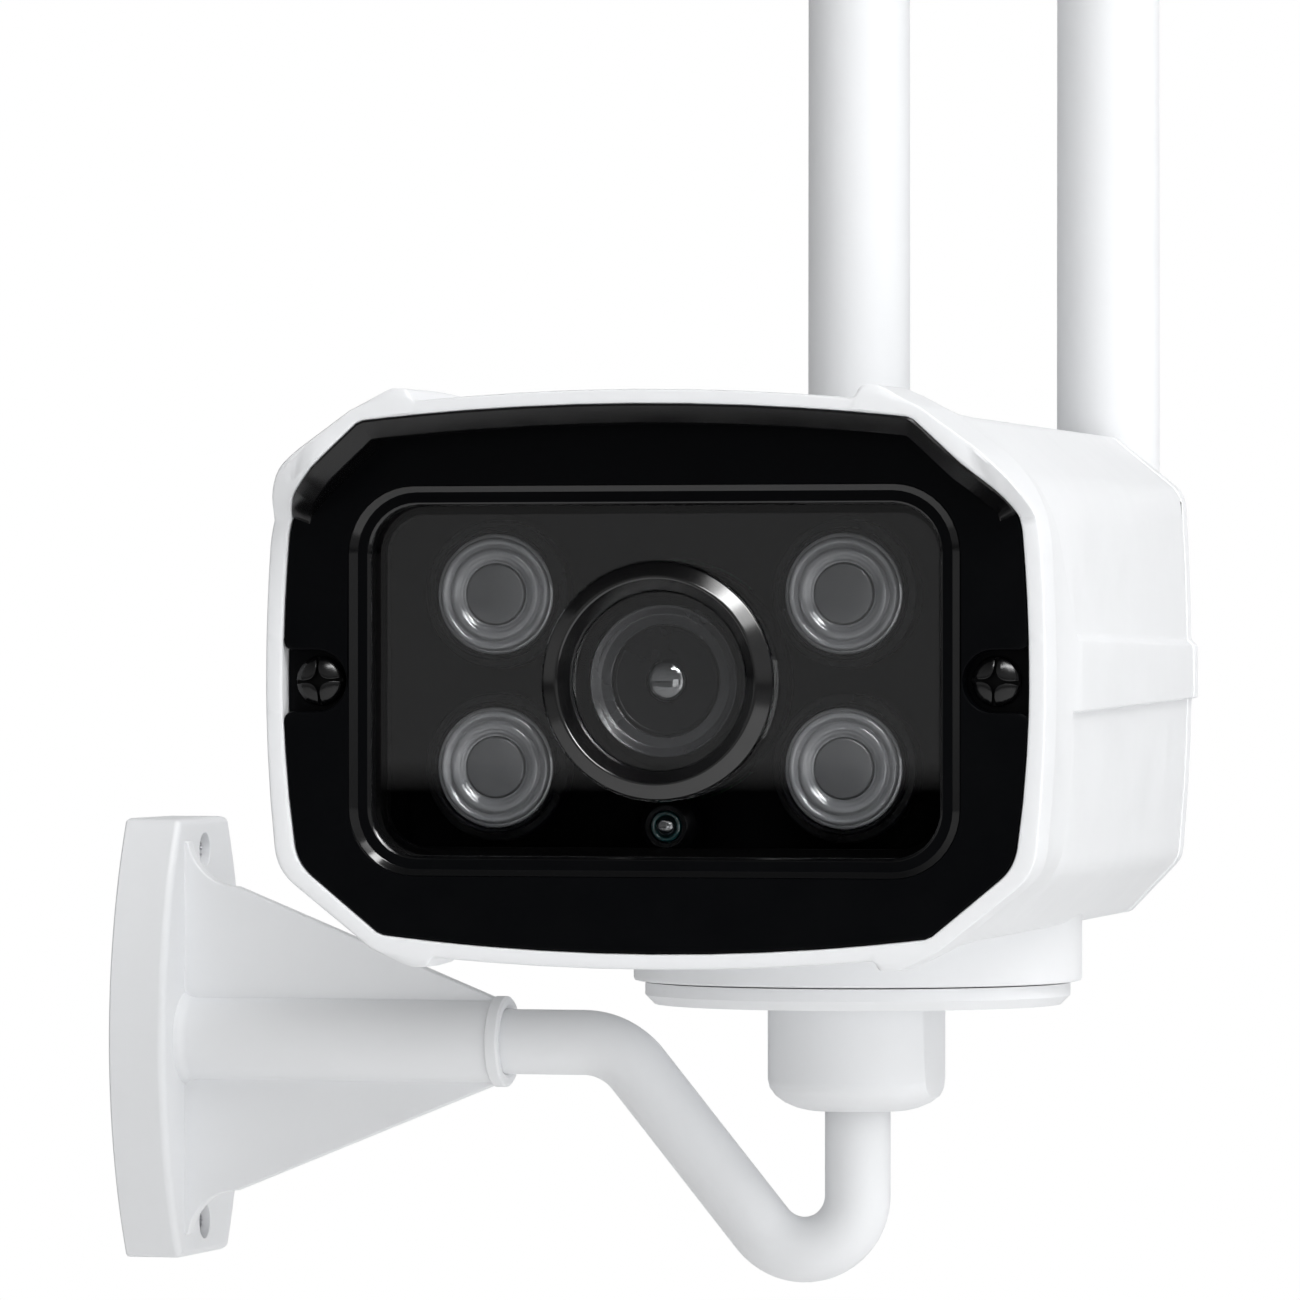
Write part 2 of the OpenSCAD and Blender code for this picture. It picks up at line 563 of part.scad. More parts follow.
module filter_frame() color(plate_black) at_camera() difference() {
    slab(frame_front, sensor_board_y) rounded(30, 22, 2);
    rod(4, frame_front - 1, sensor_board_y + 1);
    translate([-(slide_w + filter_travel + 0.6) / 2, slot_y, -4.6])
        cube([slide_w + filter_travel + 0.6, 1.2, 9.2]);
    translate([-6.5, sensor_board_y - 2.2, -6.5]) cube([13, 3, 13]);
}
module filter_slide() color([0.7, 0.4, 0.4, 0.8]) at_camera()
    translate([-(slide_w + filter_travel) / 2, slot_y + 0.2, -4.5]) difference() {
        cube([slide_w, 0.8, 9]);
        for (x = [0.5, 8.3]) translate([x, -0.1, 1]) cube([7.2, 0.2, 7]);
    }
module image_sensor() color([0.2, 0.25, 0.3]) at_camera()
    translate([-5, sensor_board_y - 1.5, -5]) cube([10, 1.5, 10]);
module sensor_board() color(board_green) at_camera() difference() {
    slab(sensor_board_y, sensor_board_y + board_t) rounded(36, 36, 2);
    four_places(sensor_posts) rod(1.1, sensor_board_y - 1, sensor_board_y + 3);
}
module sensor_standoffs() color(steel) at_camera() four_places(sensor_posts) {
    rod(2.1, lamp_board_y + board_t, sensor_board_y);
    rod(1.05, sensor_board_y - eps, sensor_board_y + 3);
}
module sensor_ribbon() color("wheat") at_camera() translate([-5, 0, 0]) rotate([90, 0, 90])
    linear_extrude(10) polygon([[sensor_board_y + board_t, -9], [-54, -9], [-52, -10.5],
        [main_board_front, -11.7], [main_board_front, -12.2], [-52.4, -11], [-54.3, -9.4],
        [sensor_board_y + board_t, -9.4]]);

// ---- Main board ---------------------------------------------------------------------------
processor_t = 1.6;
radio_t = 2.6;
module main_board() color(board_green) at_camera() translate([0, 0, main_board_z]) difference() {
    translate([-23, main_board_front, 0]) cube([46, 92, board_t]);
    board_places() translate([0, 0, -1]) cylinder(r = 1.3, h = board_t + 2);
}
module board_standoffs() color("gold") at_camera() board_places() translate([0, 0, board_post_z])
    difference() {
        cylinder(r = 2.6, h = main_board_z - board_post_z, $fn = 6);
        translate([0, 0, main_board_z - board_post_z - 7]) cylinder(r = 1.15, h = 8);
    }
module board_screws() color(steel) at_camera() board_places()
    translate([0, 0, main_board_top]) pan_screw(2.2, 1.5, 1.1, 6);
module processor() color([0.12, 0.12, 0.12]) at_camera()
    translate([-8, -18, main_board_top]) cube([16, 16, processor_t]);
module heat_sink() color("silver") at_camera() translate([-10, -20, main_board_top + processor_t]) {
    cube([20, 20, 1.6]);
    for (i = [0 : 5]) translate([i * 3.7, 0, 1.6 - eps]) cube([1.5, 20, 5]);
}
module radio_module() color("silver") at_camera()
    translate([-9, 14, main_board_top]) cube([18, 14, radio_t]);
module board_sockets() color("ivory") at_camera() {
    translate([-6, main_board_front, main_board_top]) cube([12, ribbon_socket_l, 2.2]);
    for (x = [-15, 7]) translate([x, 34, main_board_top]) cube([8, 5, 4.5]);
}
module antenna_leads() color([0.15, 0.15, 0.15]) at_camera() for (s = [-1, 1]) wire([
    [s * 5, 26, main_board_top + radio_t], [s * 5, 26, main_board_top + 8], [s * 12, 36, 4],
    [s * antenna_x, 43, antenna_z], [s * antenna_x, rear_reach - 8, antenna_z]], 0.9);

// ---- Rear cover ---------------------------------------------------------------------------
gland_z = -14;
gland_thread_r = 6;
gland_bore_r = 2.6;
module rear_gasket() color([0.12, 0.12, 0.12]) at_camera() difference() {
    section_slab(inset(tail_section, 0.4), rear_reach, cover_y);
    section_slab(inset(tail_section, wall), rear_reach - 1, cover_y + 1);
}
module rear_cover() color(shell_white) at_camera() difference() {
    section_slab(tail_section, cover_y, cover_back);
    four_places(cover_screw_at) {
        rod(1.5, cover_y - 1, cover_back + 1);
        rod(2.9, cover_back - 1.6, cover_back + 1);
    }
    both_sides(antenna_x) translate([0, 0, antenna_z]) rod(3.3, cover_y - 1, cover_back + 1);
    translate([0, 0, gland_z]) rod(gland_thread_r + 0.1, cover_y - 1, cover_back + 1);
}
module rear_cover_screws() color(steel) at_camera() four_places(cover_screw_at)
    translate([0, cover_back - 1.6, 0]) rotate([-90, 0, 0]) pan_screw(2.6, 1.6, 1.05, 12);
module gland_body() color(plate_black) at_camera() translate([0, 0, gland_z]) difference() {
    union() {
        rod(gland_thread_r, cover_y - 5, cover_back + 7);
        translate([0, cover_back, 0]) rotate([-90, 0, 0]) cylinder(r = 8.6, h = 2.6, $fn = 6);
        translate([0, cover_y - 3.4, 0]) rotate([-90, 0, 0]) cylinder(r = 8.2, h = 3.4, $fn = 6);
    }
    rod(3.4, cover_y - 6, cover_back + 8);
    rod(4.4, cover_back + 1, cover_back + 8);
}
module gland_seal() color([0.15, 0.15, 0.15]) at_camera() translate([0, 0, gland_z]) difference() {
    rod(4.35, cover_back + 1, cover_back + 7);
    rod(gland_bore_r, cover_back, cover_back + 8);
}
module gland_nut() color(plate_black) at_camera() translate([0, 0, gland_z]) difference() {
    union() {
        translate([0, cover_back + 2.8, 0]) rotate([-90, 0, 0]) cylinder(r = 8, h = 4, $fn = 6);
        cone(6.9, 4.8, cover_back + 6.8, cover_back + 9.6);
    }
    rod(gland_thread_r + fit, cover_back + 2, cover_back + 7.1);
    rod(3.3, cover_back, cover_back + 12);
}

// ---- Antennas -----------------------------------------------------------------------------
socket_r = 3.1;
nut_t = 1.1;
base_y = cover_back + nut_t + 0.3;
ear_r = 4.9;
ear_gap = 3.3;
ear_out = 6;
hub_r = ear_r - 0.1;
base_back = hinge_y - hub_r - 0.3;      // the base's end face clears the rod's hub
pin_r = 1.6;
module at_socket(side) at_camera() translate([side * antenna_x, 0, antenna_z]) children();
module antenna_sockets() color("gold") for (side = [-1, 1]) at_socket(side) {
    rod(socket_r, rear_reach - 8, base_back - 0.3);
    translate([0, cover_y - 2.4, 0]) rotate([-90, 0, 0]) cylinder(r = 4.6, h = 2.4, $fn = 6);
    translate([0, cover_back, 0]) rotate([-90, 0, 0]) cylinder(r = 4.6, h = nut_t, $fn = 6);
}
module antenna_base(side) color(shell_white) at_socket(side) difference() {
    union() {
        rod(5.9, base_y, base_back);
        for (s = [-1, 1]) mirror([s < 0 ? 1 : 0, 0, 0]) {
            translate([0, hinge_y, 0]) rod_x(ear_r, ear_gap, ear_out);
            translate([ear_gap, base_y + 1, -ear_r + 1])
                cube([ear_out - ear_gap, hinge_y - base_y - 1, 2 * ear_r - 2]);
        }
    }
    rod(socket_r + 0.08, base_y - 1, base_back + 1);
    translate([0, hinge_y, 0]) {
        rod_x(ear_r + 0.15, -ear_gap, ear_gap);
        rod_x(pin_r, -10, 10);
    }
}
module antenna_pin(side) color(steel) at_socket(side) translate([0, hinge_y, 0])
    rod_x(pin_r, -ear_out - 0.3, ear_out + 0.3);
module antenna(side) color(shell_white) at_socket(side) translate([0, hinge_y, 0]) difference() {
    union() {
        rod_x(hub_r, -ear_gap + 0.15, ear_gap - 0.15);
        translate([-ear_gap + 0.15, -hub_r + 0.5, 0]) cube([2 * ear_gap - 0.3, 2 * hub_r - 1, 8]);
        translate([0, 0, 6.4]) cylinder(r1 = 5.4, r2 = antenna_d / 2, h = 2.6);
        translate([0, 0, 9 - eps]) cylinder(r = antenna_d / 2, h = antenna_len - 13);
        translate([0, 0, antenna_len - 4 - eps])
            cylinder(r1 = antenna_d / 2, r2 = antenna_d / 2 - 3, h = 4);
    }
    rod_x(pin_r + 0.06, -10, 10);
}
module antenna_base_left() antenna_base(-1);
module antenna_base_right() antenna_base(1);
module antenna_pin_left() antenna_pin(-1);
module antenna_pin_right() antenna_pin(1);
module antenna_left() antenna(-1);
module antenna_right() antenna(1);

wall_bracket();
wall_screws();
arm_lock_screw();
sleeve_collar();
arm_tube();
arm_ball();
swivel_head();
ball_retainer();
tilt_lock_screw();
pan_washer();
pan_ring();
pan_ring_screws();
housing_shell();
visor_liner();
front_plate();
front_gasket();
front_screws();
window_glass();
window_gasket();
lens_trim_ring();
lens_window();
lamp_board();
lamp_board_screws();
lamp_chips();
lamp_holders();
lamp_lenses();
light_sensor();
light_sensor_holder();
lens_barrel();
lens_front_element();
lens_rear_element();
lens_holder();
filter_frame();
filter_slide();
image_sensor();
sensor_board();
sensor_standoffs();
sensor_ribbon();
main_board();
board_standoffs();
board_screws();
processor();
heat_sink();
radio_module();
board_sockets();
antenna_leads();
rear_gasket();
rear_cover();
rear_cover_screws();
gland_body();
gland_seal();
gland_nut();
antenna_sockets();
antenna_base_left();
antenna_base_right();
antenna_pin_left();
antenna_pin_right();
antenna_left();
antenna_right();
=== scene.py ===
"""Outdoor box camera on a bent-tube wall bracket: its looks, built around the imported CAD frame.

Sizes are millimetres in each piece's own frame. They turn to metres when a piece is placed.
"""
import json
import logging
import math
from dataclasses import astuple, dataclass, field, replace
from enum import Enum
from functools import cache
from typing import Callable, Iterable, Sequence

import bmesh
import bpy
from mathutils import Matrix, Vector


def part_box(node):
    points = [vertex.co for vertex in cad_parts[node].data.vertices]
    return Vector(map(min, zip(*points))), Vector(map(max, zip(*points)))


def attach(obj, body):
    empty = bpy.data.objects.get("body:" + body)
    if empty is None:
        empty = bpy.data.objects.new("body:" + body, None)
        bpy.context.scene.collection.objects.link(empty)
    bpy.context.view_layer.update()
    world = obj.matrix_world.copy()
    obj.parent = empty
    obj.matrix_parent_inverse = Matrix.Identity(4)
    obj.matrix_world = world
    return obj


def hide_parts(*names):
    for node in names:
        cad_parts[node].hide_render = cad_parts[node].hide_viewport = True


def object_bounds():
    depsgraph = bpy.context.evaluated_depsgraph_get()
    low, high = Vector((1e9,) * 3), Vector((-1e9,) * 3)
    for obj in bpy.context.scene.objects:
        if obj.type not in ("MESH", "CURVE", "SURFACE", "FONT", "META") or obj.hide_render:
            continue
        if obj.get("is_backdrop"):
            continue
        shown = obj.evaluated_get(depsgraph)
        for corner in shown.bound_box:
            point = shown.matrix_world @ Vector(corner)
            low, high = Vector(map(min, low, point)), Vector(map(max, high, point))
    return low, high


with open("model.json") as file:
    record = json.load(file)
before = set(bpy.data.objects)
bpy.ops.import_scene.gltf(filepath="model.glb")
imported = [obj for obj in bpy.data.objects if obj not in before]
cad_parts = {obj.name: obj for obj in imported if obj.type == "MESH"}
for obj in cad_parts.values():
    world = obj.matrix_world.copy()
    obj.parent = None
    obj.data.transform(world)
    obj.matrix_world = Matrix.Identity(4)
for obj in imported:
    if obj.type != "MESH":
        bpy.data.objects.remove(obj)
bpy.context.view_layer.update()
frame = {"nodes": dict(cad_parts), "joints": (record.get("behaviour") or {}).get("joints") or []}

log = logging.getLogger("camera")
MM = 0.001
TURN = 2 * math.pi
MERGE = 1e-4            # points nearer than this, in millimetres, are one
CAD_MERGE = 0.002       # the same in a copy of a CAD node's mesh
SHORT = 1e-7            # an outline's step shorter than this has no direction

Point = Sequence[float]
Flat = tuple[float, float]
Colour = tuple[float, float, float]
Feeds = dict[str | int, object]
Ring = list[bmesh.types.BMVert]


# ---- Places read from the frame ----------------------------------------------------------
def node_low(node: str) -> Vector:
    """Lowest corner of a CAD node, in millimetres."""
    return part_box(node)[0] / MM


def node_high(node: str) -> Vector:
    """Highest corner of a CAD node, in millimetres."""
    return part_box(node)[1] / MM


def joint_place(name: str) -> Vector:
    """Place of a joint's axis at rest, in millimetres."""
    return Vector(next(j["pos_m"] for j in frame["joints"] if j["name"] == name)) / MM


def middle_of(node: str) -> Vector:
    """Middle of a CAD node's box, in millimetres."""
    return (node_low(node) + node_high(node)) / 2


def width_of(node: str) -> float:
    """Size of a CAD node's box in x, in millimetres."""
    return node_high(node).x - node_low(node).x


PAN = joint_place("camera_pan")
BALL = joint_place("head_tilt")
LENS = Vector((PAN.x, PAN.y, middle_of("lens_trim_ring").z))
ARM_PLANE = Vector((0.0, BALL.y, 0.0))
WALL = Vector((0.0, 0.0, 0.0))
PLATE = node_low("front_plate").y - PAN.y
FACE = PLATE + 2.0
REAR = node_low("rear_gasket").y - PAN.y
COVER = (node_low("rear_cover").y - PAN.y, node_high("rear_cover").y - PAN.y)


# ---- Numbers and outlines ----------------------------------------------------------------
def blend(a: float, b: float, share: float) -> float:
    """Value a share of the way from a to b."""
    return a + (b - a) * share


def eased(value: float) -> float:
    """Smooth step from 0 to 1 of a value, held flat outside that range."""
    t = min(1.0, max(0.0, value))
    return t * t * (3 - 2 * t)


def stops(a: float, b: float, count: int) -> list[float]:
    """Evenly spaced values from a to b, both ends included."""
    return [blend(a, b, i / (count - 1)) for i in range(count)]


def table(points: Sequence[Flat], value: float) -> float:
    """Reads a table by straight lines between its rows.

    Args:
        points: rows of (value, result), rising.
        value: where to read; outside the table its nearest row holds.

    Returns:
        The result at that value.
    """
    if value <= points[0][0]:
        return points[0][1]
    for (x0, y0), (x1, y1) in zip(points, points[1:]):
        if value <= x1:
            return blend(y0, y1, (value - x0) / (x1 - x0))
    return points[-1][1]


def curve(start: Flat, control: Flat, end: Flat, steps: int) -> list[Flat]:
    """Points along a round corner.

    Args:
        start: first point.
        control: the sharp corner that is rounded off.
        end: last point.
        steps: number of parts.

    Returns:
        steps + 1 points, both ends included.
    """
    made = []
    for t in stops(0.0, 1.0, steps + 1):
        a, b, c = (1 - t) ** 2, 2 * t * (1 - t), t * t
        made.append(tuple(a * p + b * q + c * r for p, q, r in zip(start, control, end)))
    return made


def circle(radius: float, count: int = 48, centre: Flat = (0.0, 0.0)) -> list[Flat]:
    """A number of points round a circle about its centre, clockwise like the other outlines."""
    return [(centre[0] + radius * math.sin(a), centre[1] + radius * math.cos(a))
            for a in (TURN * i / count for i in range(count))]


def rounded_box(width: float, height: float, radius: float, steps: int = 8) -> list[Flat]:
    """Outline of a rectangle with round corners, clockwise from its top left corner.

    Args:
        width: size in x.
        height: size in z.
        radius: corner radius.
        steps: parts in each corner.

    Returns:
        The points.
    """
    made: list[Flat] = []
    for k, (sx, sz) in enumerate(((-1, 1), (1, 1), (1, -1), (-1, -1))):
        cx, cz = sx * (width / 2 - radius), sz * (height / 2 - radius)
        for i in range(steps + 1):
            angle = TURN / 4 * (k - 1 + i / steps)
            made.append((cx + radius * math.sin(angle), cz + radius * math.cos(angle)))
    return made


def shifted(outline: Sequence[Flat], inward: float) -> list[Flat]:
    """Outline moved inwards along its own normals.

    Args:
        outline: points of a clockwise closed outline.
        inward: how far it moves; below zero moves it outwards.

    Returns:
        As many points as the outline has.
    """
    made, count = [], len(outline)
    for i, here in enumerate(outline):
        before = Vector(here) - Vector(outline[i - 1])
        after = Vector(outline[(i + 1) % count]) - Vector(here)
        if before.length < SHORT:
            before = after
        if after.length < SHORT:
            after = before
        run = (before.normalized() + after.normalized()).normalized()
        normal = Vector((run.y, -run.x))
        lean = max(0.5, run.dot(before.normalized()))
        place = Vector(here) + normal * inward / lean
        made.append((place.x, place.y))
    return made


def at_depth(outline: Iterable[Flat], depth: float) -> list[Point]:
    """Outline in x and z, laid at one depth y."""
    return [(x, depth, z) for x, z in outline]


def at_height(outline: Iterable[Flat], height: float) -> list[Point]:
    """Outline in x and y, laid at one height z."""
    return [(x, y, height) for x, y in outline]


def at_reach(outline: Iterable[Flat], reach: float) -> list[Point]:
    """Outline in y and z, laid at one distance x from the wall."""
    return [(reach, y, z) for y, z in outline]


def stacked(outline: Sequence[Flat], lay: Callable[[Iterable[Flat], float], list[Point]],
            steps: Iterable[Flat]) -> list[list[Point]]:
    """Rings of one outline, laid by at_depth or its like at steps of (how far drawn in, level)."""
    return [lay(shifted(outline, inward) if inward else outline, level) for inward, level in steps]


# ---- Finishes ----------------------------------------------------------------------------
class Slot(Enum):
    """Material slots of the record."""

    WHITE = "white_plastic"
    SATIN = "black_satin"
    GLOSS = "black_gloss"
    GLASS = "clear_glass"
    RUBBER = "rubber"
    STEEL = "steel"
    BOARD = "circuit_board"
    GOLD = "gold_plate"
    NYLON = "nylon"
    ALUMINIUM = "aluminium"
    COATED = "coated_glass"


class Nodes:
    """Builder of a node tree: adds nodes and feeds their inputs."""

    def __init__(self, tree: bpy.types.NodeTree) -> None:
        """Takes the tree that it fills."""
        self.tree = tree

    def feed(self, node: bpy.types.Node, inputs: Feeds) -> None:
        """Joins outputs to a node's inputs, or sets the inputs to plain values.

        Args:
            node: the node that is fed.
            inputs: an output or a value for each input, by the input's name or number.
        """
        for key, value in inputs.items():
            if isinstance(value, bpy.types.NodeSocket):
                self.tree.links.new(value, node.inputs[key])
            else:
                node.inputs[key].default_value = value

    def add(self, kind: str, inputs: Feeds | None = None, **settings: object) -> bpy.types.Node:
        """Adds a node.

        Args:
            kind: its type.
            inputs: what feeds its inputs, as in feed.
            **settings: its own properties, which are set first.

        Returns:
            The node.
        """
        node = self.tree.nodes.new(kind)
        for name, value in settings.items():
            setattr(node, name, value)
        self.feed(node, inputs or {})
        return node

    def maths(self, operation: str, a: object, b: object) -> bpy.types.NodeSocket:
        """Works on two numbers or outputs with a Math node."""
        return self.add("ShaderNodeMath", {0: a, 1: b}, operation=operation).outputs[0]

    def ranged(self, value: bpy.types.NodeSocket, span: Flat,
               result: Flat = (0.0, 1.0)) -> bpy.types.NodeSocket:
        """Maps a span of an output to a span of results, held at both ends."""
        ends = {"From Min": span[0], "From Max": span[1], "To Min": result[0], "To Max": result[1]}
        return self.add("ShaderNodeMapRange", {"Value": value, **ends}).outputs["Result"]

    def tinted(self, factor: bpy.types.NodeSocket, a: Colour, b: Colour) -> bpy.types.NodeSocket:
        """Mixes two colours by an output; a Mix node keeps its colours on inputs 6 and 7 and output 2."""
        inputs = {"Factor": factor, 6: (*a, 1.0), 7: (*b, 1.0)}
        return self.add("ShaderNodeMix", inputs, data_type="RGBA").outputs[2]

    def noise(self, place: bpy.types.NodeSocket, scale: bpy.types.NodeSocket, detail: float,
              roughness: float = 0.5) -> bpy.types.NodeSocket:
        """Reads a noise at a place."""
        inputs = {"Vector": place, "Scale": scale, "Detail": detail, "Roughness": roughness}
        return self.add("ShaderNodeTexNoise", inputs).outputs[0]


class Group(Nodes):
    """A shader group that several finishes share: numbers go in, and masks come out."""

    def __init__(self, name: str, **inputs: float) -> None:
        """Starts the group.

        Args:
            name: its name.
            **inputs: each number that goes in, with its default.
        """
        super().__init__(bpy.data.node_groups.new(name, "ShaderNodeTree"))
        for label, default in inputs.items():
            self.socket(label, "INPUT").default_value = default
        self.given = self.add("NodeGroupInput").outputs

    def socket(self, label: str, in_out: str) -> bpy.types.NodeTreeInterfaceSocket:
        """Adds a number to the group's inputs or outputs."""
        return self.tree.interface.new_socket(name=label, in_out=in_out, socket_type="NodeSocketFloat")

    def finished(self, **outputs: bpy.types.NodeSocket) -> bpy.types.NodeTree:
        """Ends the group.

        Args:
            **outputs: what comes out under each name.

        Returns:
            The group's tree.
        """
        for label in outputs:
            self.socket(label, "OUTPUT")
        self.add("NodeGroupOutput", outputs)
        return self.tree


@cache
def moulded_grain() -> bpy.types.NodeTree:
    """Fine spark-eroded grain of a moulding, with a broad drift of tone and finer patches of gloss.

    Returns:
        The group: Height of the grain, and Tone and Gloss masks from 0 to 1.
    """
    group = Group("moulded_grain", Fineness=2600.0, Drift=22.0)
    place = group.add("ShaderNodeTexCoord").outputs["Object"]
    drift = group.given["Drift"]
    broad = group.noise(place, drift, 2.0)
    patch = group.noise(place, group.maths("MULTIPLY", drift, 7.0), 4.0)
    middle = (0.3, 0.7)
    return group.finished(Height=group.noise(place, group.given["Fineness"], 3.0, 0.55),
                          Tone=group.ranged(broad, middle), Gloss=group.ranged(patch, middle))


@cache
def tool_marks() -> bpy.types.NodeTree:
    """Fine tool marks of turned and plated metal.

    Returns:
        The group: Height of the marks, and Tone and Gloss masks from 0 to 1.
    """
    group = Group("tool_marks", Fineness=900.0, Stretch=14.0)
    place = group.add("ShaderNodeTexCoord").outputs["Object"]
    x, y, z = group.add("ShaderNodeSeparateXYZ", {0: place}).outputs
    drawn = {0: x, 1: y, 2: group.maths("MULTIPLY", z, group.given["Stretch"])}
    marks = group.noise(group.add("ShaderNodeCombineXYZ", drawn).outputs[0], group.given["Fineness"], 2.0)
    mask = group.ranged(marks, (0.35, 0.65))
    return group.finished(Height=marks, Tone=mask, Gloss=mask)


@dataclass(frozen=True)
class Finish:
    """A surface finish, built as one material on first use."""

    name: str
    slot: Slot
    colour: Colour
    roughness: float = 0.5
    spread: float = 0.06
    drift: float = 0.03
    bump: float = 0.1
    fineness: float = 2600.0
    metallic: float = 0.0
    specular: float = 0.5
    coat: float = 0.0
    ior: float = 1.5
    effect: Callable[[], bpy.types.NodeTree] = moulded_grain

    def tinge(self, nodes: Nodes, mask: bpy.types.NodeSocket) -> bpy.types.NodeSocket:
        """The finish's colour, a little darker where the mask is low."""
        return nodes.tinted(mask, tuple(c * (1 - self.drift) for c in self.colour), self.colour)

    def paint(self, nodes: Nodes, shader: bpy.types.Node) -> bpy.types.bpy_prop_collection:
        """Feeds a Principled shader with the finish's colour and constants.

        Args:
            nodes: builder of the material's tree.
            shader: the shader that is fed.

        Returns:
            Outputs of the finish's effect.
        """
        masks = nodes.add("ShaderNodeGroup", {"Fineness": self.fineness}, node_tree=self.effect()).outputs
        nodes.feed(shader, {"Base Color": self.tinge(nodes, masks["Tone"]), "Metallic": self.metallic,
                            "Specular IOR Level": self.specular, "IOR": self.ior, "Coat Weight": self.coat})
        return masks

    def dress(self, nodes: Nodes, shader: bpy.types.Node) -> None:
        """Feeds a Principled shader with all that the finish has.

        Args:
            nodes: builder of the material's tree.
            shader: the shader that is fed.
        """
        masks = self.paint(nodes, shader)
        ends = (self.roughness - self.spread, self.roughness + self.spread)
        nodes.feed(shader, {"Roughness": nodes.ranged(masks["Gloss"], (0.0, 1.0), ends)})
        if self.bump:
            grain = {"Height": masks["Height"], "Strength": self.bump, "Distance": 0.1 * MM}
            nodes.feed(shader, {"Normal": nodes.add("ShaderNodeBump", grain).outputs["Normal"]})

    @cache
    def material(self) -> bpy.types.Material:
        """The finish's material, made once.

        Returns:
            The material.
        """
        made = bpy.data.materials.new(self.name)
        made.use_nodes = True
        made.diffuse_color = (*self.colour, 1.0)
        self.dress(Nodes(made.node_tree), made.node_tree.nodes["Principled BSDF"])
        return made


@dataclass(frozen=True)
class Metal(Finish):
    """Plated or turned metal with fine tool marks."""

    metallic: float = 1.0
    fineness: float = 900.0
    effect: Callable[[], bpy.types.NodeTree] = tool_marks


@dataclass(frozen=True)
class Glass(Finish):
    """Clear glass or plastic, which lets light through to what lies behind it."""

    def dress(self, nodes: Nodes, shader: bpy.types.Node) -> None:
        """Makes the shader clear, with no shadow of its own.

        Args:
            nodes: builder of the material's tree.
            shader: the Principled shader.
        """
        self.paint(nodes, shader)
        nodes.feed(shader, {"Roughness": self.roughness, "Transmission Weight": 1.0})
        shadow = nodes.add("ShaderNodeLightPath").outputs["Is Shadow Ray"]
        clear = nodes.add("ShaderNodeBsdfTransparent").outputs[0]
        both = nodes.add("ShaderNodeMixShader", {0: shadow, 1: shader.outputs[0], 2: clear})
        nodes.feed(nodes.tree.nodes["Material Output"], {"Surface": both.outputs[0]})


@dataclass(frozen=True)
class Board(Finish):
    """Circuit board: solder mask over a net of copper tracks."""

    pitch: float = 420.0

    def tinge(self, nodes: Nodes, mask: bpy.types.NodeSocket) -> bpy.types.NodeSocket:
        """The solder mask's colour, lighter over the tracks.

        Args:
            nodes: builder of the material's tree.
            mask: left unread, because the tracks take its place.

        Returns:
            The colour's output.
        """
        place = nodes.add("ShaderNodeTexCoord").outputs["Object"]
        tracks = nodes.add("ShaderNodeTexBrick", {"Vector": place, "Scale": self.pitch, "Mortar Size": 0.03})
        lighter = tuple(min(1.0, c * 2.2 + 0.01) for c in self.colour)
        return nodes.tinted(tracks.outputs["Fac"], self.colour, lighter)


WHITE = Finish("white_moulding", Slot.WHITE, (0.80, 0.81, 0.825), roughness=0.48, drift=0.02, bump=0.06,
               fineness=1900.0, specular=0.35)
SATIN = Finish("black_satin_moulding", Slot.SATIN, (0.0012, 0.0014, 0.0019), roughness=0.34, drift=0.15,
               bump=0.08, specular=0.06)
FRAME = Finish("frame_gloss", Slot.SATIN, (0.0012, 0.0013, 0.0016), roughness=0.12, spread=0.02, drift=0.15,
               bump=0.0, specular=0.6)
GLOSSY = Finish("black_gloss_moulding", Slot.GLOSS, (0.0015, 0.0015, 0.0018), roughness=0.2, spread=0.03,
                drift=0.15, bump=0.02, specular=0.45)
RUBBER = Finish("black_rubber", Slot.RUBBER, (0.012, 0.012, 0.012), roughness=0.75, bump=0.3, fineness=1300.0)
NYLON = Finish("natural_nylon", Slot.NYLON, (0.66, 0.60, 0.45), roughness=0.5, bump=0.15)
STEEL = Metal("zinc_plated_steel", Slot.STEEL, (0.56, 0.56, 0.58), roughness=0.3, drift=0.1, bump=0.15)
GOLD = Metal("gold_plating", Slot.GOLD, (0.75, 0.52, 0.2), roughness=0.25, drift=0.08, bump=0.1)
ALUMINIUM = Metal("satin_aluminium", Slot.ALUMINIUM, (0.68, 0.68, 0.70), roughness=0.38, drift=0.08, bump=0.3)
BOARD = Board("green_board", Slot.BOARD, (0.01, 0.075, 0.03), roughness=0.35, bump=0.2, coat=0.3)
DARK_BOARD = Finish("dark_board", Slot.SATIN, (0.0004, 0.0004, 0.0005), roughness=0.6, bump=0.0,
                    specular=0.02)
INNER = Finish("inner_black", Slot.SATIN, (0.0008, 0.0008, 0.001), roughness=0.3, bump=0.0, specular=0.12)
TRIM = Finish("trim_gloss", Slot.GLOSS, (0.0015, 0.0015, 0.0018), roughness=0.15, spread=0.02, drift=0.15,
              bump=0.0, specular=0.85)
BARREL = Finish("barrel_black", Slot.SATIN, (0.0025, 0.0026, 0.003), roughness=0.3, bump=0.0, specular=0.15)
BAND = Finish("barrel_band", Slot.SATIN, (0.014, 0.0145, 0.016), roughness=0.24, bump=0.0, specular=0.5)
ELEMENT = Finish("front_element_glass", Slot.COATED, (0.003, 0.004, 0.005), roughness=0.06, spread=0.01,
                 bump=0.0, specular=1.0, ior=1.9)
